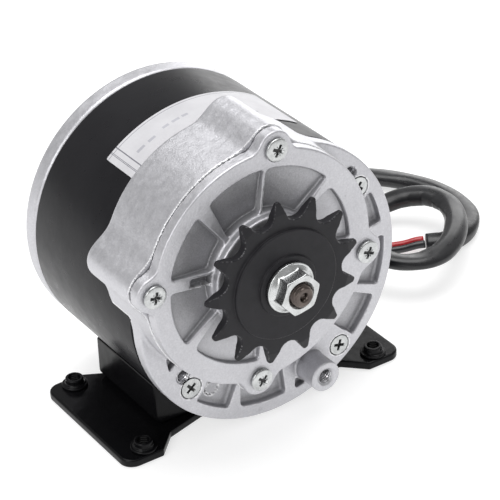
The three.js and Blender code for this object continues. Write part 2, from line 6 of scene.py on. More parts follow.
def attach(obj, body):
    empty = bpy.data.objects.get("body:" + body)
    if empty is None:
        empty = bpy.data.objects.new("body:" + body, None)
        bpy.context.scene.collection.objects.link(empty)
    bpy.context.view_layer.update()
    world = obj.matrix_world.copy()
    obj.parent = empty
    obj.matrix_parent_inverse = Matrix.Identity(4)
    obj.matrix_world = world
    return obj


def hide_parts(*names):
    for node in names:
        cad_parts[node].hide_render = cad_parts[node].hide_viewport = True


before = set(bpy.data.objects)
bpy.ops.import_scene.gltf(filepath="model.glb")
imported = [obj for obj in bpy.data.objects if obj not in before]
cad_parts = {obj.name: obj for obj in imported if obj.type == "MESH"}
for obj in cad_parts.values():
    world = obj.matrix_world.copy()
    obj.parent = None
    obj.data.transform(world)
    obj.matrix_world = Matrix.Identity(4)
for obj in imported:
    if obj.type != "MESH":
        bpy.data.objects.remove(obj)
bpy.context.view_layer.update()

MM = 0.001
rad = math.radians

# ------------------------------------------------------------------ dimensions (mm), as the CAD has them
AX, AZ = 0.0, 54.3
OX, OZ = -11.3, 71.3
CAN_R, CAN_RI, CAN_Y0, CAN_Y1 = 51.0, 47.3, -26.1, 38.5
BELL_R, FLANGE_Y0, FLANGE_Y1, SPIGOT_R, SPIGOT_Y = 51.3, -31.5, -26.4, 47.0, -20.5
CASE_R, CASE_RI, CASE_Y0, CASE_Y1, FLOOR_Y, LEDGE_Y = 42.5, 39.0, -40.9, -14.2, -24.5, -27.9
COVER_Y0, COVER_Y1, COVER_R = -45.5, -41.2, 42.2
BOLT = [(33.7, 44.1), (124.5, 44.2), (-138.9, 43.9), (-51.9, 45.2)]
COVER_SCREWS = [(82.4, 42.3), (173, 42.3), (265.6, 41.9), (-11.2, 41.5)]
TEETH, PITCH, TIP_R, ROLLER_R, SPROCKET_PHASE = 13, 12.7, 29.55, 3.97, 64.7
PX, PZ = 11.0984, 69.1637
JP, JP_R, JP_Y = (14.9, 16.0), 5.7, -41.5
NUT_PHASE = 10.7
# cover pockets: side lines as (angle at r 35, angle at r 20) for the low and the high side, then the outer radius
COVER_POCKETS = [((-1, 5), (38, 44), 33.9), ((45, 46.5), (87.2, 90.7), 35.6), ((88.8, 93), (123.5, 131), 35.9), ((131.8, 135), (167.3, 163), 36.0),
                 ((169.0, 165.6), (173.8, 175.0), 28.5), ((174.8, 176.3), (209.3, 206.4), 35.5), ((217, 209), (264, 266), 34.3)]


def polar(cx, cz, r, deg):
    return cx + r * math.cos(rad(deg)), cz + r * math.sin(rad(deg))


# ------------------------------------------------------------------ camera
cam_data = bpy.data.cameras.new("camera")
cam_data.sensor_width = 36.0
cam_data.lens = 154.38
cam_data.clip_start, cam_data.clip_end = 0.05, 20.0
cam = bpy.data.objects.new("camera", cam_data)
bpy.context.scene.collection.objects.link(cam)
cam.matrix_world = Matrix((
    (0.8291, 0.3100, -0.4653, -0.3363),
    (-0.5582, 0.4093, -0.7218, -0.5412),
    (-0.0333, 0.8581, 0.5124, 0.4321),
    (0, 0, 0, 1)))
bpy.context.scene.camera = cam
bpy.context.scene.view_settings.view_transform = "Standard"

# ------------------------------------------------------------------ mesh helpers
def link(name, me, mats, body, replaces=(), smooth=True, sharp=None, normals=None):
    for m in (mats if isinstance(mats, (list, tuple)) else [mats]):
        me.materials.append(m)
    if smooth:
        me.polygons.foreach_set("use_smooth", [True] * len(me.polygons))
    if normals is not None:
        me.normals_split_custom_set_from_vertices(normals)
    elif sharp is not None:
        me.set_sharp_from_angle(angle=rad(sharp))
    me.update()
    ob = bpy.data.objects.new(name, me)
    bpy.context.scene.collection.objects.link(ob)
    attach(ob, body)
    if replaces:
        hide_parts(*replaces)
    return ob


def raw_mesh(name, verts, faces, mat_index=None):
    """verts in mm; faces a list, or an (n,4)/(n,3) array."""
    me = bpy.data.meshes.new(name)
    v = np.asarray(verts, dtype=np.float64) * MM
    if isinstance(faces, np.ndarray):
        n, k = faces.shape
        me.vertices.add(len(v))
        me.vertices.foreach_set("co", v.ravel())
        me.loops.add(n * k)
        me.loops.foreach_set("vertex_index", faces.ravel().astype(np.int32))
        me.polygons.add(n)
        me.polygons.foreach_set("loop_start", np.arange(0, n * k, k, dtype=np.int32))
        me.update(calc_edges=True)
        me.validate()
    else:
        me.from_pydata(v.tolist(), [], [list(f) for f in faces])
    if mat_index is not None:
        me.polygons.foreach_set("material_index", mat_index)
    return me


def float_attr(me, name, values):
    a = me.attributes.new(name, "FLOAT", "POINT")
    a.data.foreach_set("value", np.asarray(values, dtype=np.float32))


# ------------------------------------------------------------------ materials
class M:
    """Small node-tree writer."""
    def __init__(self, name, **consts):
        self.mat = bpy.data.materials.new(name)
        self.mat.use_nodes = True
        self.nt = self.mat.node_tree
        self.b = self.nt.nodes["Principled BSDF"]
        for k, v in consts.items():
            self.b.inputs[k.replace("_", " ")].default_value = v
        self.tc = self.nt.nodes.new("ShaderNodeTexCoord")

    def node(self, kind, **props):
        n = self.nt.nodes.new(kind)
        for k, v in props.items():
            setattr(n, k, v)
        return n

    def put(self, node, name, value):
        s = node.inputs[name]
        if isinstance(value, bpy.types.NodeSocket):
            self.nt.links.new(value, s)
        else:
            s.default_value = value

    def coords(self, scale=(1, 1, 1), rot=(0, 0, 0)):
        mp = self.node("ShaderNodeMapping")
        self.nt.links.new(self.tc.outputs["Object"], mp.inputs["Vector"])
        mp.inputs["Scale"].default_value = scale
        mp.inputs["Rotation"].default_value = rot
        return mp.outputs["Vector"]

    def noise(self, scale, detail=3.0, rough=0.55, vec=None, distortion=0.0):
        n = self.node("ShaderNodeTexNoise")
        self.put(n, "Vector", vec if vec is not None else self.tc.outputs["Object"])
        self.put(n, "Scale", scale)
        self.put(n, "Detail", detail)
        self.put(n, "Roughness", rough)
        self.put(n, "Distortion", distortion)
        return n.outputs["Fac"]

    def voronoi(self, scale, feature="F1", vec=None, rand=1.0):
        n = self.node("ShaderNodeTexVoronoi", feature=feature)
        self.put(n, "Vector", vec if vec is not None else self.tc.outputs["Object"])
        self.put(n, "Scale", scale)
        self.put(n, "Randomness", rand)
        return n.outputs["Distance"]

    def ramp(self, fac, stops):
        n = self.node("ShaderNodeValToRGB")
        self.put(n, "Fac", fac)
        el = n.color_ramp.elements
        while len(el) < len(stops):
            el.new(0.5)
        for e, (p, c) in zip(el, stops):
            e.position = p
            e.color = (*c, 1) if hasattr(c, "__len__") else (c, c, c, 1)
        return n.outputs["Color"]

    def rng(self, fac, a, b, c, d):
        n = self.node("ShaderNodeMapRange")
        for k, v in zip(("Value", "From Min", "From Max", "To Min", "To Max"), (fac, a, b, c, d)):
            self.put(n, k, v)
        return n.outputs["Result"]

    def math(self, op, a, b=0.0):
        n = self.node("ShaderNodeMath", operation=op)
        for s, v in zip(n.inputs, (a, b)):
            if isinstance(v, bpy.types.NodeSocket):
                self.nt.links.new(v, s)
            else:
                s.default_value = v
        return n.outputs[0]

    def mix(self, fac, a, b):
        n = self.node("ShaderNodeMix", data_type="RGBA")
        for s, v in ((n.inputs[0], fac), (n.inputs[6], a), (n.inputs[7], b)):
            if isinstance(v, bpy.types.NodeSocket):
                self.nt.links.new(v, s)
            else:
                s.default_value = v if not hasattr(v, "__len__") or len(v) == 4 else (*v, 1)
        return n.outputs[2]

    def attr(self, name):
        n = self.node("ShaderNodeAttribute", attribute_name=name)
        return n.outputs["Fac"]

    def bump(self, height, strength, dist, normal=None):
        n = self.node("ShaderNodeBump")
        self.put(n, "Height", height)
        self.put(n, "Strength", strength)
        self.put(n, "Distance", dist)
        if normal is not None:
            self.put(n, "Normal", normal)
        return n.outputs["Normal"]

    def set(self, **kw):
        for k, v in kw.items():
            self.put(self.b, k.replace("_", " "), v)
        return self


def cast_metal(name, dark, light, metallic=0.75, grain=1.0, rough=(0.42, 0.62)):
    m = M(name, Metallic=metallic)
    fine = m.noise(1500 / grain, 3.0, 0.6)
    mid = m.noise(420 / grain, 4.0, 0.55)
    big = m.noise(45, 3.0, 0.5)
    pits = m.voronoi(700 / grain)
    blend = m.math("ADD", m.math("MULTIPLY", fine, 0.45), m.math("ADD", m.math("MULTIPLY", mid, 0.3), m.math("MULTIPLY", big, 0.25)))
    col = m.ramp(blend, [(0.30, dark), (0.55, [0.5 * (a + b) for a, b in zip(dark, light)]), (0.72, light)])
    cav, edge, floor = m.attr("cavity"), m.attr("edge"), m.attr("pocket")
    # pocket floors (the pocket attribute) painted darker with a dark grey speckle: painted shade with a grainy look
    speck = m.rng(m.noise(2300, 2), 0.35, 0.65, 0.0, 1.0)
    col = m.mix(m.math("MULTIPLY", floor, 0.72), col, m.mix(speck, (0.13, 0.13, 0.135), (0.33, 0.33, 0.34)))
    # darkened in hollows (the cavity attribute): painted shade
    col = m.mix(m.math("MULTIPLY", cav, 0.55), col, (0.12, 0.12, 0.125))
    # lightened to near white on convex edges (the edge attribute): painted highlight
    col = m.mix(m.math("MULTIPLY", m.rng(edge, 0.08, 0.5, 0.0, 1.0), 0.75), col, (0.93, 0.93, 0.94))
    # grey pouring and handling marks, with a few dark specks
    marks = m.rng(m.noise(260, 5, 0.65), 0.66, 0.76, 0.0, 0.4)
    col = m.mix(marks, col, (0.22, 0.22, 0.23))
    col = m.mix(m.math("MULTIPLY", m.rng(m.voronoi(240), 0.0, 0.045, 1.0, 0.0), 0.7), col, (0.05, 0.05, 0.05))
    m.set(Base_Color=col, Roughness=m.math("ADD", m.rng(mid, 0.3, 0.7, *rough), m.math("SUBTRACT", m.math("MULTIPLY", floor, 0.14), m.math("MULTIPLY", edge, 0.12))))
    n1 = m.bump(mid, 0.22, 0.0006)
    n2 = m.bump(fine, 0.35, 0.00022, n1)
    n3 = m.bump(m.rng(pits, 0.0, 0.12, 0.0, 1.0), 0.12, 0.0002, n2)
    m.set(Normal=n3)
    return m.mat


def painted(name, col, rough=0.2, peel=1.0, coat=0.6, lighter=None, spec=0.5, band=False):
    m = M(name, Metallic=0.0, Coat_Weight=coat, Coat_Roughness=0.07, Specular_IOR_Level=spec)
    big = m.noise(30, 3)
    m.set(Base_Color=m.ramp(big, [(0.3, col), (0.75, lighter or [c * 1.35 + 0.002 for c in col])]))
    ro = m.rng(m.noise(160, 4), 0.3, 0.7, rough * 0.85, rough * 1.2)
    if band:
        # matt sealant line where the can meets the bell
        sep = m.node("ShaderNodeSeparateXYZ")
        m.nt.links.new(m.tc.outputs["Object"], sep.inputs[0])
        seal = m.rng(m.math("ADD", sep.outputs["Y"], m.math("MULTIPLY", m.math("SUBTRACT", m.noise(60, 2), 0.5), 0.0006)), -0.0252, -0.0249, 1.0, 0.0)
        ro = m.math("ADD", ro, m.math("MULTIPLY", seal, 0.7))
    m.set(Roughness=ro)
    n1 = m.bump(m.noise(260, 2, 0.4), 0.10 * peel, 0.0004)
    n2 = m.bump(m.noise(2600, 2, 0.6), 0.05 * peel, 0.00008, n1)
    m.set(Normal=n2)
    return m.mat


def metal(name, col, rough=(0.2, 0.35), turned=0.0, axis=None, tint=None, streak=900, metallic=1.0, bump=0.15, edges=None):
    """Machined or plated metal. turned > 0 adds concentric tool marks round an axis parallel to Y through axis=(x, z) mm."""
    m = M(name, Metallic=metallic)
    n = m.noise(300, 4)
    fine = m.noise(2500, 3)
    col2 = tint or [c * 0.82 for c in col]
    bc = m.ramp(n, [(0.3, col2), (0.7, col)])
    if edges:
        # lighter edges (the edge attribute broken up by noise): painted edge highlight
        edge_highlight = m.math("MULTIPLY", m.rng(m.attr("edge"), 0.25, 0.7, 0.0, 1.0), m.rng(m.noise(220, 4), 0.35, 0.6, 0.15, 1.0))
        bc = m.mix(edge_highlight, bc, edges)
    m.set(Base_Color=bc, Roughness=m.rng(fine, 0.3, 0.7, *rough))
    nrm = m.bump(fine, bump, 0.00008)
    if turned:
        cx, cz = axis
        sep = m.node("ShaderNodeSeparateXYZ")
        m.nt.links.new(m.tc.outputs["Object"], sep.inputs[0])
        dx = m.math("SUBTRACT", sep.outputs["X"], cx * MM)
        dz = m.math("SUBTRACT", sep.outputs["Z"], cz * MM)
        r = m.math("SQRT", m.math("ADD", m.math("MULTIPLY", dx, dx), m.math("MULTIPLY", dz, dz)))
        cmb = m.node("ShaderNodeCombineXYZ")
        m.nt.links.new(r, cmb.inputs[0])
        m.nt.links.new(sep.outputs["Y"], cmb.inputs[1])
        rings = m.noise(streak * 2.0, 3, 0.6, vec=cmb.outputs[0])
        nrm = m.bump(rings, 0.25 * turned, 0.0001, nrm)
    m.set(Normal=nrm)
    return m.mat


MAT = {}
MAT["cast"] = cast_metal("cast_aluminium", (0.46, 0.458, 0.482), (0.69, 0.688, 0.715), rough=(0.36, 0.5))
# darker copy of the cast aluminium for recesses: painted shade (no part uses it)
MAT["cast_dark"] = cast_metal("cast_aluminium_recess_shade", (0.13, 0.13, 0.14), (0.36, 0.355, 0.38), metallic=0.6, grain=1.2, rough=(0.5, 0.7))
MAT["can"] = painted("can_paint", (0.0095, 0.0093, 0.0108), rough=0.30, coat=0.0, band=True, spec=0.14)
MAT["bracket"] = painted("bracket_paint", (0.0030, 0.0030, 0.0036), rough=0.22, coat=0.0, peel=1.5, spec=0.16)
MAT["zinc"] = metal("zinc_plate", (0.66, 0.67, 0.675), (0.2, 0.34), tint=(0.46, 0.47, 0.465))


def screw_mat():
    m = M("zinc_screw", Metallic=1.0)
    # the cross recess (the recess attribute) is painted near-black: painted shade
    recess_shade = m.attr("recess")
    base = m.ramp(m.noise(500, 4), [(0.3, (0.44, 0.45, 0.45)), (0.7, (0.62, 0.63, 0.63))])
    m.set(Base_Color=m.mix(recess_shade, base, (0.045, 0.045, 0.045, 1)), Roughness=m.rng(m.noise(2200), 0.3, 0.7, 0.22, 0.36))
    m.set(Normal=m.bump(m.noise(2600), 0.15, 0.00008))
    return m.mat


MAT["screw"] = screw_mat()
MAT["thread"] = metal("cut_thread", (0.62, 0.62, 0.64), (0.16, 0.26), bump=0.05)
MAT["zinc_dark"] = metal("recess_shadow", (0.05, 0.05, 0.055), (0.5, 0.7), metallic=0.4)
# the light grey edges colour is the painted edge highlight on the black oxide
MAT["oxide"] = metal("black_oxide", (0.018, 0.0174, 0.0205), (0.38, 0.5), turned=0.3, axis=(OX, OZ), metallic=0.12, tint=(0.0135, 0.013, 0.0152), bump=0.06, edges=(0.30, 0.30, 0.31))
MAT["steel"] = metal("bright_steel", (0.56, 0.565, 0.58), (0.18, 0.32))
MAT["oxide"].node_tree.nodes["Principled BSDF"].inputs["Specular IOR Level"].default_value = 0.24
MAT["shaft_dark"] = metal("dark_shaft_steel", (0.16, 0.135, 0.12), (0.25, 0.42), turned=0.5, axis=(OX, OZ), tint=(0.09, 0.075, 0.07))
MAT["core"] = metal("core_steel", (0.32, 0.325, 0.34), (0.4, 0.55), metallic=0.85)
MAT["copper_bar"] = metal("commutator_copper", (0.80, 0.42, 0.24), (0.22, 0.36), turned=0.7, axis=(AX, AZ))
MAT["brass"] = metal("brass_sheet", (0.72, 0.55, 0.26), (0.2, 0.35))
MAT["spring"] = metal("spring_steel", (0.48, 0.485, 0.5), (0.22, 0.34))


def winding_mat():
    m = M("copper_winding", Metallic=0.75, Coat_Weight=0.5)
    w = m.node("ShaderNodeTexWave", wave_type="BANDS", bands_direction="DIAGONAL")
    m.put(w, "Vector", m.tc.outputs["Object"]); m.put(w, "Scale", 420.0); m.put(w, "Distortion", 1.5); m.put(w, "Detail", 1.0)
    m.set(Base_Color=m.mix(m.noise(90, 3), (0.50, 0.17, 0.07), (0.36, 0.11, 0.045)), Roughness=m.rng(m.noise(700), 0.3, 0.7, 0.28, 0.45))
    m.set(Normal=m.bump(w.outputs["Fac"], 0.7, 0.0003))
    return m.mat


def moulded(name, col, rough=(0.3, 0.45), texture=900, bump=0.12, lighter=None, coat=0.0, sheen=0.0):
    m = M(name, Metallic=0.0, Coat_Weight=coat, Sheen_Weight=sheen)
    m.set(Base_Color=m.ramp(m.noise(120, 4), [(0.3, col), (0.72, lighter or [min(1, c * 1.3 + 0.004) for c in col])]))
    m.set(Roughness=m.rng(m.noise(400, 3), 0.3, 0.7, *rough))
    n1 = m.bump(m.noise(texture, 3), bump, 0.00025)
    m.set(Normal=m.bump(m.noise(texture * 4, 2), bump * 0.5, 0.00006, n1))
    return m.mat


MAT["winding"] = winding_mat()
MAT["ferrite"] = moulded("ferrite", (0.045, 0.045, 0.05), (0.5, 0.7), 1400, 0.3)
MAT["phenolic"] = moulded("phenolic_board", (0.20, 0.085, 0.035), (0.4, 0.55), 1200, 0.2)
MAT["carbon"] = moulded("carbon_brush", (0.022, 0.022, 0.024), (0.5, 0.7), 1800, 0.25)
MAT["rubber"] = moulded("grommet_rubber", (0.012, 0.012, 0.014), (0.42, 0.6), 800, 0.12)
MAT["sleeve"] = moulded("sleeve_vinyl", (0.0085, 0.0085, 0.0100), (0.26, 0.38), 500, 0.14, coat=0.0)
MAT["lead_red"] = moulded("lead_red_pvc", (0.43, 0.012, 0.018), (0.26, 0.4), 700, 0.1, lighter=(0.52, 0.02, 0.026), coat=0.25)
MAT["lead_black"] = moulded("lead_black_pvc", (0.010, 0.010, 0.012), (0.26, 0.4), 700, 0.1, coat=0.25)
MAT["nylon"] = moulded("nylon_white", (0.76, 0.74, 0.68), (0.36, 0.5), 700, 0.06, lighter=(0.82, 0.80, 0.75))
MAT["label"] = moulded("label_film", (0.50, 0.495, 0.515), (0.45, 0.58), 1500, 0.05, lighter=(0.56, 0.555, 0.575))
MAT["label_ink"] = moulded("label_ink", (0.13, 0.13, 0.15), (0.45, 0.6), 1500, 0.05)
MAT["label_grey"] = moulded("label_grey", (0.34, 0.34, 0.37), (0.45, 0.6), 1500, 0.05)

# ------------------------------------------------------------------ curves
def catmull(points, per=24):
    """three.js centripetal Catmull-Rom through the points, then resampled; returns mm points."""
    P = [np.array(p, dtype=float) for p in points]
    out = []
    n = len(P)
    for i in range(n - 1):
        p1, p2 = P[i], P[i + 1]
        p0 = P[i - 1] if i > 0 else 2 * P[0] - P[1]
        p3 = P[i + 2] if i + 2 < n else 2 * P[-1] - P[-2]
        d0, d1, d2 = (max(1e-4, float(np.sum((b - a) ** 2)) ** 0.25) for a, b in ((p0, p1), (p1, p2), (p2, p3)))
        t1 = ((p1 - p0) / d0 - (p2 - p0) / (d0 + d1) + (p2 - p1) / d1) * d1
        t2 = ((p2 - p1) / d1 - (p3 - p1) / (d1 + d2) + (p3 - p2) / d2) * d1
        for k in range(per):
            t = k / per
            out.append(p1 + t1 * t + (-3 * p1 + 3 * p2 - 2 * t1 - t2) * t * t + (2 * p1 - 2 * p2 + t1 + t2) * t ** 3)
    out.append(P[-1])
    return np.array(out)


def resample(pts, step):
    seg = np.linalg.norm(np.diff(pts, axis=0), axis=1)
    s = np.concatenate([[0], np.cumsum(seg)])
    n = max(2, int(round(s[-1] / step)) + 1)
    u = np.linspace(0, s[-1], n)
    return np.stack([np.interp(u, s, pts[:, k]) for k in range(3)], 1), u


GD = (math.cos(rad(-28)), math.sin(rad(-28)))
def G0(r):
    return (AX + r * GD[0], 26.4, AZ + r * GD[1])
SLEEVE_PATH = [G0(55.5), G0(62), (64, 25.6, 20.2), (73, 21.5, 16.2), (79, 14, 14.4), (83.5, 6.5, 14), (90, 2.2, 14), (98, 2.0, 14.1), (106.5, 5.6, 14.2), (114.8, 12.4, 14), (121.5, 21, 13.8), (125.6, 31.5, 13.6), (124.2, 42, 12.6), (117, 50, 10.4), (107, 54.5, 7.4), (96, 57.5, 5), (84, 61.5, 4.4), (73, 69, 4.4), (67.5, 81, 4.4), (72.5, 93.5, 4.4), (85, 100.3, 4.4), (99, 99, 4.4), (112, 92, 4.4), (124, 82, 4.4), (134, 69.5, 4.4), (139.6, 56, 4.4), (140.3, 43, 4.4), (136.5, 31.5, 4.4), (128, 23, 4.4), (117.5, 21.2, 4.4), (110.5, 25.0, 4.4)]
LEAD_BASE = [(109.75, 25.41, 4.4), (107.4, 26.7, 4.2), (103.2, 29.6, 2.7), (98, 33.3, 1.7), (92.5, 36.2, 1.65), (86, 38.2, 1.65), (77, 42.2, 1.65), (68.5, 48.5, 1.65), (59.5, 55.3, 1.65), (49, 60, 1.65), (38, 62, 1.65), (26.6, 62, 2.6), (20.3, 62, 3.4)]


def lead_path(o):
    out = []
    B = LEAD_BASE
    for i, p in enumerate(B):
        a, b = B[max(0, i - 1)], B[min(len(B) - 1, i + 1)]
        t = np.array([b[0] - a[0], b[1] - a[1]]); t /= np.linalg.norm(t)
        out.append((p[0] - t[1] * o, p[1] + t[0] * o, p[2]))
    return out


def frames(pts):
    t = np.gradient(pts, axis=0)
    t /= np.linalg.norm(t, axis=1)[:, None]
    up = np.array([0, 0, 1.0])
    side = np.cross(t, up)
    ln = np.linalg.norm(side, axis=1)
    # near-vertical stretches keep the neighbour's sideways direction
    good = ln > 0.3
    idx = np.arange(len(pts))
    near = np.array([idx[good][np.argmin(np.abs(idx[good] - i))] for i in idx])
    side = side[near]
    side -= t * np.sum(side * t, axis=1)[:, None]
    side /= np.linalg.norm(side, axis=1)[:, None]
    nrm = np.cross(side, t)
    return t, side, nrm


def sweep(name, pts, section, closed_ends=True, n=32):
    """section(i, s) -> (n, 2) offsets along side and normal."""
    t, side, nrm = frames(pts)
    seg = np.linalg.norm(np.diff(pts, axis=0), axis=1)
    s = np.concatenate([[0], np.cumsum(seg)])
    V = []
    for i, p in enumerate(pts):
        q = section(i, s[i], s[-1])
        V.append(p + q[:, :1] * side[i] + q[:, 1:2] * nrm[i])
    k = len(V[0])
    V = np.concatenate(V)
    m = len(pts)
    a = np.arange(k)
    F = []
    for i in range(m - 1):
        F += [(i * k + j, i * k + (j + 1) % k, (i + 1) * k + (j + 1) % k, (i + 1) * k + j) for j in a]
    if closed_ends:
        F.append(tuple(reversed(range(k))))
        F.append(tuple(range((m - 1) * k, m * k)))
    return raw_mesh(name, V, F)


def flip_outward(me):
    import bmesh
    bm = bmesh.new(); bm.from_mesh(me)
    bmesh.ops.recalc_face_normals(bm, faces=bm.faces)
    bm.to_mesh(me); bm.free()


rng = np.random.default_rng(7)
def smooth_noise(s, wavelength, seed):
    r = np.random.default_rng(seed)
    n = int(s[-1] / wavelength) + 6
    v = r.uniform(-1, 1, n)
    x = s / wavelength + 1
    i = np.clip(x.astype(int), 0, n - 2); f = x - i
    f = f * f * (3 - 2 * f)
    return v[i] * (1 - f) + v[i + 1] * f


sl_line = catmull(SLEEVE_PATH)
sl_pts, sl_s = resample(sl_line, 0.9)
# soft vinyl tube: flattened to an oval where it lies down, rounder at the grommet, pulled to the two wires at its mouth
flat_w = 4.75 + 0.35 * smooth_noise(sl_s, 23, 1) + 0.15 * smooth_noise(sl_s, 7, 2)
flat_h = 3.15 + 0.35 * smooth_noise(sl_s, 17, 3)
twist = 0.35 * smooth_noise(sl_s, 40, 4)
blend_in = np.clip(sl_s / 16.0, 0, 1)
flat_w = 4.15 + (flat_w - 4.15) * blend_in
flat_h = 4.05 + (flat_h - 4.05) * blend_in
low = (sl_pts[:, 2] < 7.5) * 0.75
low = np.convolve(np.pad(low, 12, mode="edge"), np.ones(25) / 25, mode="valid")
NS = 44
fold = [smooth_noise(sl_s, wl, 20 + q) for q, wl in enumerate((26, 34, 15, 21, 9))]
_h = np.gradient(sl_pts[:, :2], axis=0)
_ang = np.unwrap(np.arctan2(_h[:, 1], _h[:, 0]))
turn = np.convolve(np.gradient(_ang) / 0.9, np.ones(15) / 15, mode="same")
crease = np.clip(np.abs(turn) * 22 - 0.55, 0, 1) * np.clip(np.sin(sl_s * 0.83 + 1.6 * smooth_noise(sl_s, 11, 40)) * 1.6 - 0.75, 0, 1)


def sleeve_section(i, s, total):
    a = np.linspace(0, 2 * math.pi, NS, endpoint=False)
    w, h = flat_w[i], flat_h[i]
    end = np.clip((s - (total - 5)) / 5, 0, 1)
    w = w * (1 - 0.10 * end)
    ca, sa = np.cos(a), np.sin(a)
    # squashed oval with a soft crease along each side
    x = w * np.sign(ca) * np.abs(ca) ** 0.92
    z = h * np.sign(sa) * np.abs(sa) ** 0.86
    on = min(1, s / 10)
    wr = 0.30 * fold[0][i] * np.cos(2 * a + 0.9 * fold[1][i]) + 0.22 * fold[2][i] * np.cos(3 * a + 1.5 * fold[3][i])
    wr += 0.10 * fold[4][i] * np.sin(a * 5 + 2.5 * fold[0][i])
    # short creases on the inside of the bends
    wr -= 0.55 * crease[i] * np.clip(np.cos(a - (math.pi if turn[i] > 0 else 0)), 0, 1) ** 2
    k = 1 + wr * on / 4.0
    x, z = x * k, z * k
    c, d = math.cos(twist[i]), math.sin(twist[i])
    z2 = d * x + c * z
    x2 = c * x - d * z
    return np.stack([x2, z2 - low[i] * (0.9 if s > 40 else 0)], 1)


me = sweep("cable_sleeve_skin", sl_pts, sleeve_section)
# keep it off the floor
co = np.empty(len(me.vertices) * 3); me.vertices.foreach_get("co", co); co = co.reshape(-1, 3)
co[:, 2] = np.maximum(co[:, 2], 0.00012)
me.vertices.foreach_set("co", co.ravel())
flip_outward(me)
sleeve = link("cable_sleeve_skin", me, MAT["sleeve"], "housing", ["cable_sleeve"])

for nm, off, mat, slot, seed in (("lead_red", -1.7, "lead_red", "lead_red", 11), ("lead_black", 1.7, "lead_black", "lead_black", 12)):
    line = catmull(lead_path(off))
    pts, s = resample(line, 0.8)
    wob = 0.05 * smooth_noise(s, 9, seed)
    def sec(i, si, total, wob=wob):
        a = np.linspace(0, 2 * math.pi, 24, endpoint=False)
        r = 1.5 + wob[i] + 0.012 * np.sin(a * 9)
        return np.stack([r * np.cos(a), r * np.sin(a)], 1)
    me = sweep(nm + "_insulation", pts, sec)
    flip_outward(me)
    ob = link(nm + "_insulation", me, MAT[mat], "housing", [nm])

# ------------------------------------------------------------------ signed-distance modelling for the cast, turned and stamped parts (mm)
def rc(x, z, cx, cz):
    return np.hypot(x - cx, z - cz)


def slab(y, y0, y1):
    return np.abs(y - (y0 + y1) / 2) - (y1 - y0) / 2


def isect(a, b, r):
    """Intersection whose outer edge is rounded to radius r."""
    return np.minimum(np.maximum(a, b), -r) + np.hypot(np.maximum(a + r, 0), np.maximum(b + r, 0))


def cut(a, b, r):
    return isect(a, -b, r)


def join(a, b, r):
    """Union with a fillet of radius r in the inner corner."""
    return np.maximum(np.minimum(a, b), r) - np.hypot(np.maximum(r - a, 0), np.maximum(r - b, 0))


def sector2d(x, z, cx, cz, r0, r1, a0, a1, k):
    dx, dz = x - cx, z - cz
    r = np.hypot(dx, dz)
    l0 = dx * math.sin(rad(a0)) - dz * math.cos(rad(a0))
    l1 = -dx * math.sin(rad(a1)) + dz * math.cos(rad(a1))
    d = isect(r - r1, r0 - r, k)
    return isect(isect(d, l0, k), l1, k)


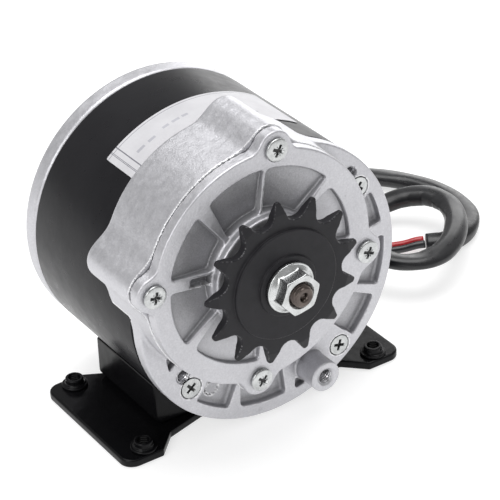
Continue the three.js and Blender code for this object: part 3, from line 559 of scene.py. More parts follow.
def sdf_mesh(name, f, lo, hi, h, newton=4):
    """Surface nets over f < 0, pulled on to the surface, with its own exact normals."""
    lo, hi = np.array(lo, float), np.array(hi, float)
    C = 4
    n = (np.ceil((hi - lo) / (h * C)).astype(int)) * C + 1
    ax = [(lo[k] + h * np.arange(n[k])).astype(np.float32) for k in range(3)]
    cx = [a[::C] for a in ax]
    Fc = np.broadcast_to(f(cx[0][:, None, None], cx[1][None, :, None], cx[2][None, None, :]), [len(c) for c in cx]).astype(np.float32)
    idx = [np.minimum((np.arange(n[k]) + C // 2) // C, len(cx[k]) - 1) for k in range(3)]
    F = Fc[np.ix_(*idx)].copy()
    m = np.argwhere(np.abs(F) < 7.5 * h)
    x, y, z = ax[0][m[:, 0]], ax[1][m[:, 1]], ax[2][m[:, 2]]
    F[m[:, 0], m[:, 1], m[:, 2]] = np.broadcast_to(f(x, y, z), x.shape)
    F[F == 0] = 1e-7
    S = F < 0
    cnt = np.zeros([k - 1 for k in n], dtype=np.int8)
    for i in (0, 1):
        for j in (0, 1):
            for k in (0, 1):
                cnt += S[i:n[0] - 1 + i, j:n[1] - 1 + j, k:n[2] - 1 + k]
    act = np.argwhere((cnt > 0) & (cnt < 8))
    vid = -np.ones(cnt.shape, dtype=np.int64)
    vid[act[:, 0], act[:, 1], act[:, 2]] = np.arange(len(act))
    acc = np.zeros((len(act), 3)); num = np.zeros(len(act))
    corners = [(i, j, k) for i in (0, 1) for j in (0, 1) for k in (0, 1)]
    for a in corners:
        for axis in range(3):
            if a[axis]:
                continue
            b = list(a); b[axis] = 1
            va = F[act[:, 0] + a[0], act[:, 1] + a[1], act[:, 2] + a[2]]
            vb = F[act[:, 0] + b[0], act[:, 1] + b[1], act[:, 2] + b[2]]
            hit = (va < 0) != (vb < 0)
            t = np.where(hit, va / np.where(hit, va - vb, 1), 0)
            for k in range(3):
                acc[:, k] += np.where(hit, a[k] + (t if k == axis else 0), 0)
            num += hit
    P = lo + h * (act + acc / num[:, None])
    quads = []
    for axis in range(3):
        u, v = (axis + 1) % 3, (axis + 2) % 3
        sl0 = [slice(None)] * 3; sl1 = [slice(None)] * 3
        sl0[axis] = slice(0, -1); sl1[axis] = slice(1, None)
        e = np.argwhere(S[tuple(sl0)] != S[tuple(sl1)])
        e = e[(e[:, u] > 0) & (e[:, v] > 0) & (e[:, u] < n[u] - 1) & (e[:, v] < n[v] - 1)]
        inside = S[e[:, 0], e[:, 1], e[:, 2]]
        q = []
        for du, dv in ((1, 1), (0, 1), (0, 0), (1, 0)):
            c = e.copy(); c[:, u] -= du; c[:, v] -= dv
            q.append(vid[c[:, 0], c[:, 1], c[:, 2]])
        q = np.stack(q, 1)
        q[~inside] = q[~inside][:, ::-1]
        quads.append(q)
    Q = np.concatenate(quads)
    Q = Q[(Q >= 0).all(1)]

    def grad(p, e):
        g = np.empty_like(p)
        for k in range(3):
            d = np.zeros(3); d[k] = e
            a, b = p + d, p - d
            g[:, k] = (f(a[:, 0], a[:, 1], a[:, 2]) - f(b[:, 0], b[:, 1], b[:, 2])) / (2 * e)
        return g
    start = P.copy()
    for _ in range(newton):
        g = grad(P, 0.05 * h)
        v = f(P[:, 0], P[:, 1], P[:, 2])
        step = g * (v / np.maximum(np.sum(g * g, 1), 0.2))[:, None]
        P = P - np.clip(step, -0.5 * h, 0.5 * h)
        off = P - start
        ln = np.linalg.norm(off, axis=1)
        P = start + off * np.minimum(1, 0.9 * h / np.maximum(ln, 1e-9))[:, None]
    g = grad(P, 0.12 * h)
    N = g / np.maximum(np.linalg.norm(g, axis=1), 1e-9)[:, None]
    me = raw_mesh(name, P, Q)
    return me, N


def sdf_piece(name, f, lo, hi, h, mat, body, replaces=(), attr=None):
    me, N = sdf_mesh(name, f, lo, hi, h)
    for k in range(3):
        for side in (lo, hi):
            g = [np.linspace(lo[i], hi[i], 40) for i in range(3)]
            g[k] = np.array([side[k]])
            q = np.meshgrid(*g, indexing="ij")
            if (f(*[c.ravel() for c in q]) < 0).any():
                print("CLIPPED", name, "xyz"[k], side[k])
    co = np.empty(len(me.vertices) * 3); me.vertices.foreach_get("co", co); co = co.reshape(-1, 3) / MM
    def at(k):
        q = co + N * k
        return f(q[:, 0], q[:, 1], q[:, 2])
    # cavity: how enclosed a point is, used to paint shade into hollows; edge: how convex a point is, used to paint edge
    # highlights and to lower roughness
    float_attr(me, "cavity", np.clip(1 - (0.5 * at(1.2) / 1.2 + 0.5 * at(3.0) / 3.0), 0, 1))
    float_attr(me, "edge", np.clip(1 + at(-0.5) / 0.5, 0, 1))
    if attr is not None:
        for k, fn in attr.items():
            float_attr(me, k, fn(co[:, 0], co[:, 1], co[:, 2]))
    return link(name, me, mat, body, replaces, normals=[tuple(v) for v in N])


# ---- front end bell
SCR = [polar(OX, OZ, r, a) for a, r in COVER_SCREWS]
SCR_IN = [polar(OX, OZ, r - 7, a) for a, r in COVER_SCREWS[:2]]
BOLTS = [polar(AX, AZ, r, a) for a, r in BOLT]
TAPS = [polar(AX, AZ, 45.2, 43), polar(AX, AZ, 42.6, -147.1)]
# flange pockets: low side, high side (angle at r 47, angle at r 36), outer radius, about the motor axis
FL_POCKETS = [((9.8, 9.8), (27, 27), 46.9), ((-20.5, -20.5), (2.8, 2.8), 47.4), ((-45.2, -45.2), (-25.4, -25.4), 47.2), ((-79.2, -75), (-66, -66), 47.0),
              ((-107.2, -111.8), (-84, -84), 46.3), ((-132.5, -132.5), (-113.6, -113.4), 46.8)]


def wedge(x, z, cx, cz, lo, hi, r0, r1, ra, rb, k):
    """Rounded pocket outline between two side lines, each given by its angles at radii ra and rb."""
    d = isect(rc(x, z, cx, cz) - r1, r0 - rc(x, z, cx, cz), k)
    for (ta, tb), sgn in ((lo, 1), (hi, -1)):
        ax, az = polar(cx, cz, ra, ta)
        bx, bz = polar(cx, cz, rb, tb)
        ux, uz = ax - bx, az - bz
        n = math.hypot(ux, uz); ux, uz = ux / n, uz / n
        d = isect(d, sgn * ((x - bx) * uz - (z - bz) * ux), k)
    return d


def bell_f(x, y, z):
    rM, rO = rc(x, z, AX, AZ), rc(x, z, OX, OZ)
    # plan shapes
    case = rO - CASE_R
    for (sx, sz), (ix, iz) in zip(SCR[:2], SCR_IN):
        lobe = join(rc(x, z, sx, sz) - 6.6, rc(x, z, ix, iz) - 9.6, 4)
        case = join(case, lobe, 4.5)
    ears = case
    for sx, sz in SCR[2:]:
        ears = join(ears, rc(x, z, sx, sz) - 6.6, 3)
    flange = isect(rM - BELL_R, slab(y, FLANGE_Y0, FLANGE_Y1), 0.7)
    keep = rO - (CASE_R + 1.6)
    for sx, sz in SCR[2:]:
        keep = np.minimum(keep, rc(x, z, sx, sz) - 7.8)
    for bx, bz in BOLTS:
        keep = np.minimum(keep, rc(x, z, bx, bz) - 5.4)
    keep = np.minimum(keep, rc(x, z, *JP) - (JP_R + 0.6))
    for tx, tz in TAPS:
        keep = np.minimum(keep, rc(x, z, tx, tz) - 3.6)
    pk = None
    for lo, hi, ro in FL_POCKETS:
        s = wedge(x, z, AX, AZ, lo, hi, 34, ro, 47, 36, 1.3)
        pk = s if pk is None else np.minimum(pk, s)
    pk = isect(pk, -keep, 1.3)
    tri = [polar(AX, AZ, 44.0, 196.8), polar(AX, AZ, 41.6, 203.8), polar(AX, AZ, 45.3, 204.6)]
    tri_d = None
    for i in range(3):
        (px0, pz0), (px1, pz1) = tri[i], tri[(i + 1) % 3]
        ux, uz = px1 - px0, pz1 - pz0
        n = math.hypot(ux, uz)
        q = -((x - px0) * uz - (z - pz0) * ux) / n
        tri_d = q if tri_d is None else isect(tri_d, q, 0.4)
    pk = np.minimum(pk, tri_d)
    pocket = isect(pk, y + 28.5, 0.9)
    # ejector pin mark on the floor of the lower left pocket
    pin = np.abs(rc(x, z, -23.6, 20.2) - 2.7) - 0.16
    pocket = np.minimum(pocket, np.maximum(pin, y + 28.25))
    flange = cut(flange, pocket, 0.35)
    d = np.minimum(flange, np.maximum(rM - SPIGOT_R, slab(y, FLANGE_Y1 - 1, SPIGOT_Y)))
    zone = np.maximum(rM - (BELL_R + 0.1), FLANGE_Y1 - y)
    outer = np.minimum(isect(case, slab(y, CASE_Y0, CASE_Y1), 1.6 * (y > -30) + 0.12 * (y <= -30)), isect(ears, slab(y, CASE_Y0, FLANGE_Y1 - 0.2), 0.12))
    outer = cut(outer, zone, 0.3)
    d = join(d, outer, 1.5)
    d = np.maximum(d, -zone) if False else d
    d = np.maximum(d, -np.maximum(np.maximum(rM - (BELL_R + 0.1), FLANGE_Y1 + 0.0 - y), SPIGOT_R + 0.01 - rM))
    post = isect(rc(x, z, *JP) - JP_R, slab(y, JP_Y, -28), 0.45)
    d = join(d, post, 0.6)
    # inner bosses
    d = np.minimum(d, np.maximum(rM - 14.2, slab(y, SPIGOT_Y - 1, -16.3)))
    d = np.minimum(d, np.maximum(rO - 10, slab(y, SPIGOT_Y - 1, -18.6)))
    # gear room
    d = cut(d, np.maximum(rO - CASE_RI, y - LEDGE_Y), 0.3)
    d = np.maximum(d, -np.maximum(np.maximum(rO - CASE_RI, rM - 40.3), np.maximum(y - FLOOR_Y, -30 - y)))
    d = np.maximum(d, -np.maximum(np.maximum(rO - CASE_RI, 54.4 - rM), np.maximum(y + 17.4, -30 - y)))
    d = np.maximum(d, -np.maximum(rM - 11.15, slab(y, -23.5, -15)))
    d = np.maximum(d, -np.maximum(rM - 4.8, slab(y, -26, -22)))
    d = np.maximum(d, -np.maximum(rO - 8.15, slab(y, -26, -19.8)))
    d = np.maximum(d, -np.maximum(rc(x, z, PX, PZ) - 3.0, slab(y, -26, -21.4)))
    for sx, sz in SCR:
        d = np.maximum(d, -np.maximum(rc(x, z, sx, sz) - 2.15, slab(y, -42, -31.8)))
    for i, (bx, bz) in enumerate(BOLTS):
        y0 = LEDGE_Y if i == 1 else FLANGE_Y0
        r = rc(x, z, bx, bz)
        d = np.maximum(d, -np.maximum(r - 2.2, slab(y, y0 - 1, -15)))
        cone = np.maximum(np.maximum((r - 4.05 + (y - y0 - 0.45) * 0.95) * 0.72, r - 4.05), slab(y, y0 - 4, y0 + 2.4))
        d = cut(d, cone, 0.15)
    for tx, tz in TAPS:
        r = rc(x, z, tx, tz)
        d = np.maximum(d, -np.maximum(r - 2.5, slab(y, -40, -27.2)))
        d = np.maximum(d, -np.maximum((r - 3.0 + (y - FLANGE_Y0) * 1.0) * 0.7, slab(y, -40, -30.5)))
    r = rc(x, z, *JP)
    d = np.maximum(d, -np.maximum(r - 2.75, slab(y, -50, -28.5)))
    d = np.maximum(d, -np.maximum((r - 3.4 + (y - JP_Y) * 1.0) * 0.7, slab(y, -50, JP_Y + 1.1)))
    return d


# ---- gear cover
def cover_f(x, y, z):
    rO = rc(x, z, OX, OZ)
    plan = rO - COVER_R
    for sx, sz in SCR:
        plan = join(plan, rc(x, z, sx, sz) - 6.2, 3.0)
    d = isect(isect(plan, COVER_Y0 - y, 0.7), y - COVER_Y1, 0.08)
    pk = None
    for lo, hi, ro in COVER_POCKETS:
        s = wedge(x, z, OX, OZ, lo, hi, 20.6, ro, 35, 20, 1.5 if ro > 30 else 0.6)
        pk = s if pk is None else np.minimum(pk, s)
    # the floor falls towards the boss
    floor_y = -43.5 + (35 - np.clip(rO, 20, 36)) * 0.10
    pocket = isect(pk, (y - floor_y) * 0.995, 0.45)
    d = cut(d, pocket, 0.5)
    boss = isect(rO - 20.3, slab(y, -48.5, -42), 0.9)
    d = join(d, boss, 0.8)
    d = np.minimum(d, np.maximum(rO - 17.4, slab(y, -42, -39.4)))
    d = np.minimum(d, np.maximum(rc(x, z, PX, PZ) - 5.2, slab(y, -42, -39.4)))
    d = np.maximum(d, -np.maximum(rO - 14.15, slab(y, -47.3, -38)))
    d = cut(d, np.maximum(rO - 10.4, slab(y, -50, -46)), 0.5)
    d = np.maximum(d, -np.maximum(rc(x, z, PX, PZ) - 3.05, slab(y, -41, -38)))
    for sx, sz in SCR:
        d = np.maximum(d, -np.maximum(rc(x, z, sx, sz) - 2.25, slab(y, -46, -41)))
    return d


# ---- rear end cap
def cap_f(x, y, z):
    rM = rc(x, z, AX, AZ)
    d = isect(rM - 50.9, slab(y, 38.8, 46.2), 1.6)
    d = np.minimum(d, np.maximum(rM - SPIGOT_R, slab(y, 33.6, 39.5)))
    hub = isect(rM - 15.0, slab(y, 40, 51), 1.5)
    d = join(d, hub, 1.6)
    pk = None
    for k in range(6):
        s = sector2d(x, z, AX, AZ, 20, 39, 60 * k + 8, 60 * k + 52, 2.0)
        pk = s if pk is None else np.minimum(pk, s)
    d = cut(d, isect(pk, 45.0 - y, 0.7), 0.35)
    cav = np.maximum(rM - 41.3, slab(y, 33, 43.4))
    cav = np.maximum(cav, -np.maximum(np.maximum(rM - 13.6, 42 - y), 0 * x - 1))
    d = np.maximum(d, -cav)
    d = np.maximum(d, -np.maximum(rM - 11.2, slab(y, 41.8, 49.4)))
    for bx, bz in BOLTS:
        d = np.maximum(d, -np.maximum(rc(x, z, bx, bz) - 2.15, slab(y, 33, 43.2)))
    return d


# ---- sprocket
def sprocket_f(x, y, z):
    dx, dz = x - OX, z - OZ
    r = np.hypot(dx, dz)
    th = np.arctan2(dz, dx) - rad(SPROCKET_PHASE)
    step = 2 * math.pi / TEETH
    t = th - step * np.round(th / step)            # angle from the nearest tooth's middle
    rp = PITCH / 2 / math.sin(math.pi / TEETH)
    at = np.abs(t)
    px, pz = r * np.cos(at), r * np.sin(at)
    gx, gz = rp * math.cos(step / 2), rp * math.sin(step / 2)
    gap = np.hypot(px - gx, pz - gz) - ROLLER_R
    # flank above the roller seat: straight line from the seat to the tip
    sx, sz = gx - ROLLER_R * math.cos(rad(62) - step / 2), gz - ROLLER_R * math.sin(rad(62) - step / 2)
    s0 = np.array([(TIP_R - 1.7) * math.cos(1.42 / (TIP_R - 1.7)), (TIP_R - 1.7) * math.sin(1.42 / (TIP_R - 1.7))])
    dirg = math.pi + step / 2
    e0 = np.array([gx + ROLLER_R * math.cos(dirg + rad(62)), gz + ROLLER_R * math.sin(dirg + rad(62))])
    v = s0 - e0; v /= np.linalg.norm(v)
    nrm = np.array([-v[1], v[0]])
    line = (px - e0[0]) * nrm[0] + (pz - e0[1]) * nrm[1]
    if (gx - e0[0]) * nrm[0] + (gz - e0[1]) * nrm[1] < 0:
        line = -line
    above = np.maximum(-line, -((px - e0[0]) * v[0] + (pz - e0[1]) * v[1]))
    cutter = np.minimum(gap, above)
    tip = isect(r - TIP_R, -cutter, 0.55)
    body = tip
    # tooth sides are chamfered towards the tip
    half = 1.5 - np.clip((r - 25.5) * 0.22, 0, 1.0)
    d = isect(body, (np.abs(y + 55.5) - half) * 0.97, 0.22)
    disc = isect(r - 19.5, slab(y, -58.2, -55), 0.4)
    d = join(d, disc, 0.35)
    boss = isect(r - 10.8, slab(y, -59.1, -55), 0.4)
    d = join(d, boss, 0.25)
    hub = isect(r - 9, slab(y, -56, -48.6), 0.4)
    d = join(d, hub, 0.5)
    return np.maximum(d, 5.15 - r)


# ---- flange nut
def nut_f(x, y, z):
    dx, dz = x - OX, z - OZ
    r = np.hypot(dx, dz)
    th = np.arctan2(dz, dx) - rad(NUT_PHASE)
    ap = 7.5 * math.cos(rad(30))
    hexd = None
    for k in range(6):
        a = rad(NUT_PHASE + 30 + 60 * k)
        q = dx * math.cos(a) + dz * math.sin(a) - ap
        hexd = q if hexd is None else isect(hexd, q, 0.25) if k else q
    d = isect(hexd, slab(y, -66.2, -59.6), 0.2)
    d = isect(d, (r - 6.75 - (y + 66.2) * 1.55) * 0.54, 0.15)
    fl = isect(r - 8.85, slab(y, -60.6, -59.25), 0.35)
    fl = np.minimum(fl, np.maximum(np.maximum((r - 8.6 + (-60.3 - y) * 1.1) * 0.67, r - 8.85), slab(y, -61.7, -59.6)))
    d = join(d, fl, 0.5)
    d = np.maximum(d, -(r - 3.95))
    return np.maximum(d, -np.maximum((r - 4.9 + (y + 66.2) * 1.0) * 0.7, slab(y, -68, -65.2)))


# mask of painted shade on the cover's pocket floors
def cover_pocket_shade(x, y, z):
    r = rc(x, z, OX, OZ)
    # the painted shade is strongest towards the upper left
    side = 0.55 * np.clip(0.55 + ((x - OX) * -0.55 + (z - OZ) * 0.55) / 36, 0.08, 1.0)
    return np.clip((y + 45.0) / 1.0, 0, 1) * (r < 36.6) * (r > 19.5) * (y < -41.5) * side


# mask of painted shade on the flange pocket floors, darker with depth
def bell_pocket_shade(x, y, z):
    return np.clip((y + 30.9) / 1.2, 0, 1) * (y < -28.2) * (rc(x, z, AX, AZ) < 48.5) * (rc(x, z, OX, OZ) > 43.2) * 0.45


Q = 1.0
sdf_piece("end_bell_casting", bell_f, (-61.8, -48, -0.5), (55, -12.8, 122), 0.62 * Q, MAT["cast"], "housing", ["front_end_bell"], attr={"pocket": bell_pocket_shade})
sdf_piece("gear_cover_casting", cover_f, (-62, -49.5, 22), (39, -38.5, 121), 0.5 * Q, MAT["cast"], "housing", ["gear_cover"], attr={"pocket": cover_pocket_shade})
sdf_piece("rear_cap_casting", cap_f, (-52, 32.8, 2.5), (52, 52, 106.5), 0.8 * Q, MAT["cast"], "housing", ["rear_end_cap"])
sdf_piece("sprocket_wheel", sprocket_f, (-42, -60, 40.5), (19.5, -48, 102), 0.36 * Q, MAT["oxide"], "output", ["sprocket"])
sdf_piece("flange_nut_detail", nut_f, (-21, -67, 61.5), (-1.5, -58.6, 81), 0.17 * Q, MAT["zinc"], "output", ["flange_nut"])

# ------------------------------------------------------------------ turned parts
def profile(pts, n=4):
    """Closed or open outline of (r, y[, fillet]) with its fillets cut in."""
    out = []
    m = len(pts)
    for i, p in enumerate(pts):
        r = p[2] if len(p) > 2 else 0
        if not r:
            out.append((p[0], p[1])); continue
        a, b, c = np.array(pts[i - 1][:2], float), np.array(p[:2], float), np.array(pts[(i + 1) % m][:2], float)
        u, v = a - b, c - b
        lu, lv = np.linalg.norm(u), np.linalg.norm(v)
        u, v = u / lu, v / lv
        ang = math.acos(max(-1, min(1, float(u @ v))))
        t = min(r / math.tan(ang / 2), 0.48 * lu, 0.48 * lv)
        rr = t * math.tan(ang / 2)
        s, e = b + u * t, b + v * t
        cen = b + (u + v) / np.linalg.norm(u + v) * (rr / math.sin(ang / 2))
        a0 = math.atan2(*(s - cen)[::-1]); a1 = math.atan2(*(e - cen)[::-1])
        d = (a1 - a0 + math.pi) % (2 * math.pi) - math.pi
        for k in range(n + 1):
            q = a0 + d * k / n
            out.append((cen[0] + rr * math.cos(q), cen[1] + rr * math.sin(q)))
    return out


def lathe_mesh(name, pts, cx, cz, seg=96, closed=False, mod=None):
    """Revolve (r, y) about the line through (cx, cz) along Y. mod(theta, r, y) gives a new radius."""
    V, rows = [], []
    th = np.linspace(0, 2 * math.pi, seg, endpoint=False)
    for r, y in pts:
        if r < 1e-6:
            rows.append([len(V)]); V.append((cx, y, cz))
        else:
            rr = np.full(seg, float(r)) if mod is None else mod(th, r, y)
            rows.append(list(range(len(V), len(V) + seg)))
            V += [(cx + a * math.cos(t), y, cz + a * math.sin(t)) for a, t in zip(rr, th)]
    F = []
    n = len(rows)
    for i in range(n if closed else n - 1):
        a, b = rows[i], rows[(i + 1) % n]
        for j in range(seg):
            k = (j + 1) % seg
            if len(a) == 1 and len(b) == 1:
                break
            if len(a) == 1:
                F.append((a[0], b[j], b[k]))
            elif len(b) == 1:
                F.append((a[j], b[0], a[k]))
            else:
                F.append((a[j], b[j], b[k], a[k]))
    me = raw_mesh(name, V, F)
    flip_outward(me)
    return me


def merge(name, meshes):
    V, F, I = [], [], []
    for me in meshes:
        n = len(V)
        V += [tuple(v.co / MM) for v in me.vertices]
        F += [tuple(n + k for k in p.vertices) for p in me.polygons]
        I += [p.material_index for p in me.polygons]
    return raw_mesh(name, V, F, I)


def boolean(ob_me, cutter_me, op="DIFFERENCE"):
    a = bpy.data.objects.new("tmp_a", ob_me); b = bpy.data.objects.new("tmp_b", cutter_me)
    for o in (a, b):
        bpy.context.scene.collection.objects.link(o)
    m = a.modifiers.new("b", "BOOLEAN"); m.operation = op; m.object = b; m.solver = "EXACT"
    dg = bpy.context.evaluated_depsgraph_get()
    me = bpy.data.meshes.new_from_object(a.evaluated_get(dg))
    for o in (a, b):
        bpy.data.objects.remove(o)
    return me


# ---- steel can: rolled tube with broken edges, its cable hole cut through
tube = lathe_mesh("can_tube", profile([(CAN_RI, CAN_Y0, 0.3), (CAN_R, CAN_Y0, 0.6), (CAN_R, CAN_Y1, 0.6), (CAN_RI, CAN_Y1, 0.3)]), AX, AZ, 220, closed=True)
drill = lathe_mesh("drill", [(0, 40), (5.0, 40), (5.0, 60), (0, 60)], 0, 0, 48)
drill.transform(Matrix.Translation((AX * MM, 26.4 * MM, AZ * MM)) @ Matrix.Rotation(rad(28), 4, "Y") @ Matrix.Rotation(-math.pi / 2, 4, "Z"))
can_me = boolean(tube, drill)
can_me.materials.clear()
link("motor_can_tube", can_me, MAT["can"], "housing", ["motor_can"], sharp=35)

# ---- output shaft: threaded stud, centre drilling, seat for the wheel
def stud():
    pts = [(0, -66.0), (0.7, -66.2), (1.1, -66.5), (1.15, -66.9), (1.75, -67.85), (1.85, -67.9), (3.05, -67.9)]
    y = -67.8
    th0, th1 = -67.7, -58.5
    rows = [(3.15, -67.85)]
    k = 0
    while th0 + k * 0.125 <= th1:
        rows.append((3.8, th0 + k * 0.125)); k += 1
    pts += rows
    pts += [(3.55, -58.4), (3.55, -58.25), (4.85, -58.2), (5.0, -58.05), (5.0, -48.3), (5.85, -48.3), (5.85, -32.2), (6.2, -32.2), (6.2, -25.1), (3.85, -24.8), (3.85, -20.2), (3.4, -19.95), (0, -19.95)]
    def mod(th, r, y):
        if not (th0 - 0.01 <= y <= th1 + 0.01) or r < 3.7:
            return np.full(len(th), float(r))
        ph = (y / 1.25 + th / (2 * math.pi)) % 1.0
        tri = np.abs(ph * 2 - 1)                       # 0 at the root, 1 at the crest
        prof = np.clip((tri - 0.10) / 0.72, 0, 1)
        depth = 0.66
        ramp = np.clip((y - th0) / 0.5, 0, 1)
        rr = 3.8 - depth * (1 - prof)
        return np.minimum(rr, 3.2 + 0.6 * ramp)
    return lathe_mesh("stud", pts, OX, OZ, 80, mod=mod)
link("output_shaft_turned", stud(), MAT["shaft_dark"], "output", ["output_shaft"], sharp=50)


# ---- tapped holes: a cut thread as a thin lining
def tapped(name, cx, cz, r, y0, y1, pitch, mat):
    rows, n = [], int((y1 - y0) / (pitch / 9))
    ys = [y0 + (y1 - y0) * i / n for i in range(n + 1)]
    inner = [(r, y) for y in ys]
    def mod(th, rr, y):
        if rr > r + 0.01:
            return np.full(len(th), float(rr))
        ph = (y / pitch + th / (2 * math.pi)) % 1.0
        tri = np.abs(ph * 2 - 1)
        ramp = np.clip((y - y0) / 0.5, 0, 1)
        return np.minimum(r + 0.02 + 0.38 * pitch * tri + (1 - ramp) * 0.2, outer - 0.03)
    outer = r + 0.38 * pitch + 0.08
    me = lathe_mesh(name, inner + [(outer, y1), (outer, y0)], cx, cz, 48, closed=True, mod=mod)
    return link(name, me, mat, "housing", sharp=60)


tapped("standoff_thread", JP[0], JP[1], 2.25, JP_Y + 0.6, -28.6, 1.05, MAT["thread"])
for i, (tx, tz) in enumerate(TAPS):
    tapped(f"lug_thread_{i + 1}", tx, tz, 2.02, -31.0, -27.3, 1.0, MAT["thread"])


# ---- screws: one finely meshed head of each kind, turned and set in place
def cross(x, z, dep, L, w):
    lx, wz = L - 0.55 * dep, w - 0.13 * dep
    a = np.maximum(np.abs(x) - lx, np.abs(z) - wz)
    b = np.maximum(np.abs(z) - lx, np.abs(x) - wz)
    c = join(a, b, 0.28)
    return c


def pan_f(x, y, z):
    r = np.hypot(x, z)
    d = isect(r - 4.1, slab(y, -47.4, -45.55), 0.75)
    d = isect(d, (np.hypot(r, y + 47.4 - 16) - 16), 0.35)
    dep = y + 47.4
    d = cut(d, np.maximum(cross(x, z, np.clip(dep, 0, 3), 2.3, 0.5), dep - 1.55), 0.13)
    d = cut(d, np.maximum(np.minimum(np.abs(x - z), np.abs(x + z)) * 0.7071 - 0.13, np.maximum(r - 1.75, dep - 0.45)), 0.05)
    return np.minimum(d, np.maximum(r - 1.95, slab(y, -46.5, -44.5)))


def flat_f(x, y, z):
    r = np.hypot(x, z)
    dep = y - 0.05
    d = np.maximum(np.maximum(r - 3.75, (r - 3.75 + (y - 0.35) * 1.03) * 0.7), slab(y, 0.05, 2.1))
    d = isect(d, r - 3.78, 0.1)
    d = cut(d, np.maximum(cross(x, z, np.clip(dep, 0, 3), 2.15, 0.5), dep - 1.25), 0.12)
    return np.minimum(d, np.maximum(r - 1.95, slab(y, 1.5, 3.0)))


def screw_set(kind, f, lo, hi, h, spots, shank):
    me0, N0 = sdf_mesh(kind, f, lo, hi, h, newton=4)
    co = np.empty(len(me0.vertices) * 3); me0.vertices.foreach_get("co", co); co = co.reshape(-1, 3) / MM
    fc = np.array([p.vertices[:] for p in me0.polygons])
    dep_at = (co[:, 1] - lo[1] - 0.3)
    # mask of the cross recess, painted near-black as shade by the screw material
    inside = np.clip((0.06 - cross(co[:, 0], co[:, 2], np.clip(dep_at, 0, 3), 2.3, 0.5)) * 7, 0, 1) * np.clip(dep_at * 2.6, 0, 1)
    for (nm, node, cx, cz, dy, ang, body) in spots:
        c, s = math.cos(rad(ang)), math.sin(rad(ang))
        R = np.array([[c, 0, s], [0, 1, 0], [-s, 0, c]])
        v = co @ R.T + np.array([cx, dy, cz])
        n = N0 @ R.T
        # shank
        y0, y1 = shank[0] + dy, shank[1] if kind == "pan" else 43.0
        sh = lathe_mesh("sh", [(0, y0), (1.93, y0), (1.93, y1 - 0.4), (1.5, y1), (0, y1)], cx, cz, 20)
        sv = np.array([tuple(q.co / MM) for q in sh.vertices])
        sf = [tuple(k + len(v) for k in p.vertices) for p in sh.polygons]
        me = raw_mesh(nm, np.concatenate([v, sv]), [tuple(q) for q in fc] + sf)
        float_attr(me, "recess", np.concatenate([inside, np.zeros(len(sv))]))
        sn = sv - np.array([cx, 0, cz]); sn[:, 1] = 0
        sn /= np.maximum(np.linalg.norm(sn, axis=1), 1e-6)[:, None]
        link(nm, me, MAT["screw"], "housing", [node], normals=[tuple(q) for q in np.concatenate([n, sn])])


screw_set("pan", pan_f, (-4.5, -47.7, -4.5), (4.5, -44.2, 4.5), 0.15 * Q,
          [(f"cover_screw_head_{i + 1}", f"cover_screw_{i + 1}", x, z, 0.0, [28, 12, 40, 22][i], "housing") for i, (x, z) in enumerate(SCR)], (-45.0, -32.0))
screw_set("flat", flat_f, (-4.1, -0.3, -4.1), (4.1, 3.3, 4.1), 0.16 * Q,
          [(f"through_bolt_head_{i + 1}", f"through_bolt_{i + 1}", x, z, LEDGE_Y if i == 1 else FLANGE_Y0, [35, 10, 50, 15][i], "housing") for i, (x, z) in enumerate(BOLTS)], (2.0, 43.0))


# ---- foot plate: pressed plate with rolled edges
def plate_outline():
    X, Y, c = 58, 28.3, 5.0
    P = []
    def arc(cx, cy, a0, a1, n=8):
        for i in range(n + 1):
            a = rad(a0 + (a1 - a0) * i / n); P.append((cx + c * math.cos(a), cy + c * math.sin(a)))
    P += [(-X + c, -Y), (-43.5, -Y), (-36, -20.8), (-21, -16.8), (21, -16.8), (36, -20.8), (43.5, -Y)]
    arc(X - c, -Y + c, -90, 0); arc(X - c, Y - c, 0, 90)
    P += [(43.5, Y), (36, 24.2), (-36, 24.2), (-43.5, Y)]
    arc(-X + c, Y - c, 90, 180); arc(-X + c, -Y + c, 180, 270)
    return P


def polygon_sdf(x, y, P):
    d = np.full(np.broadcast(x, y).shape, 1e9); s = np.ones_like(d)
    for i in range(len(P)):
        (ax, ay), (bx, by) = P[i], P[i - 1]
        ex, ey = bx - ax, by - ay
        wx, wy = x - ax, y - ay
        t = np.clip((wx * ex + wy * ey) / max(1e-9, ex * ex + ey * ey), 0, 1)
        d = np.minimum(d, (wx - ex * t) ** 2 + (wy - ey * t) ** 2)
        c1, c2, c3 = y >= ay, y < by, ex * wy > ey * wx
        s = np.where((c1 & c2 & c3) | (~c1 & ~c2 & ~c3), -s, s)
    return s * np.sqrt(d)


OUT = plate_outline()
HOLES = [(-48.4, -23.4), (48.4, -23.4), (-48.4, 23.4), (48.4, 23.4)]
def plate_f(x, y, z):
    p = polygon_sdf(x, y, OUT)
    d = isect(p, np.abs(z - 1.5) - 1.5, 0.7)
    for hx, hy in HOLES:
        d = cut(d, np.hypot(x - hx, y - hy) - 2.7, 0.3)
    return d


sdf_piece("foot_plate", plate_f, (-59, -29.3, -0.6), (59, 29.3, 3.6), 0.55 * Q, MAT["bracket"], "housing", ["base_plate"])

for side, nm in ((-1, "left"), (1, "right")):
    def web_f(x, y, z, s=side):
        u = x * s
        rM = np.hypot(x, z - AZ)
        d = np.maximum(22.0 - u, 3.25 - z)
        # outer wall leans in a little from a rolled foot
        d = isect(d, (u - 38.4), 0.6)
        d = isect(d, 51.3 - rM, 0.5)
        d = isect(d, (u - 36.5) - (z - 3.25), 0.8)
        end = slab(y, -15.6, 23.2)
        return isect(d, end, 0.6)
    lo = (-39.6, -16.6, 2.6) if side < 0 else (21, -16.6, 2.6)
    hi = (-21, 24.2, 22) if side < 0 else (39.6, 24.2, 22)
    sdf_piece(f"saddle_web_{nm}_formed", web_f, lo, hi, 0.6 * Q, MAT["bracket"], "housing", [f"saddle_web_{nm}"])

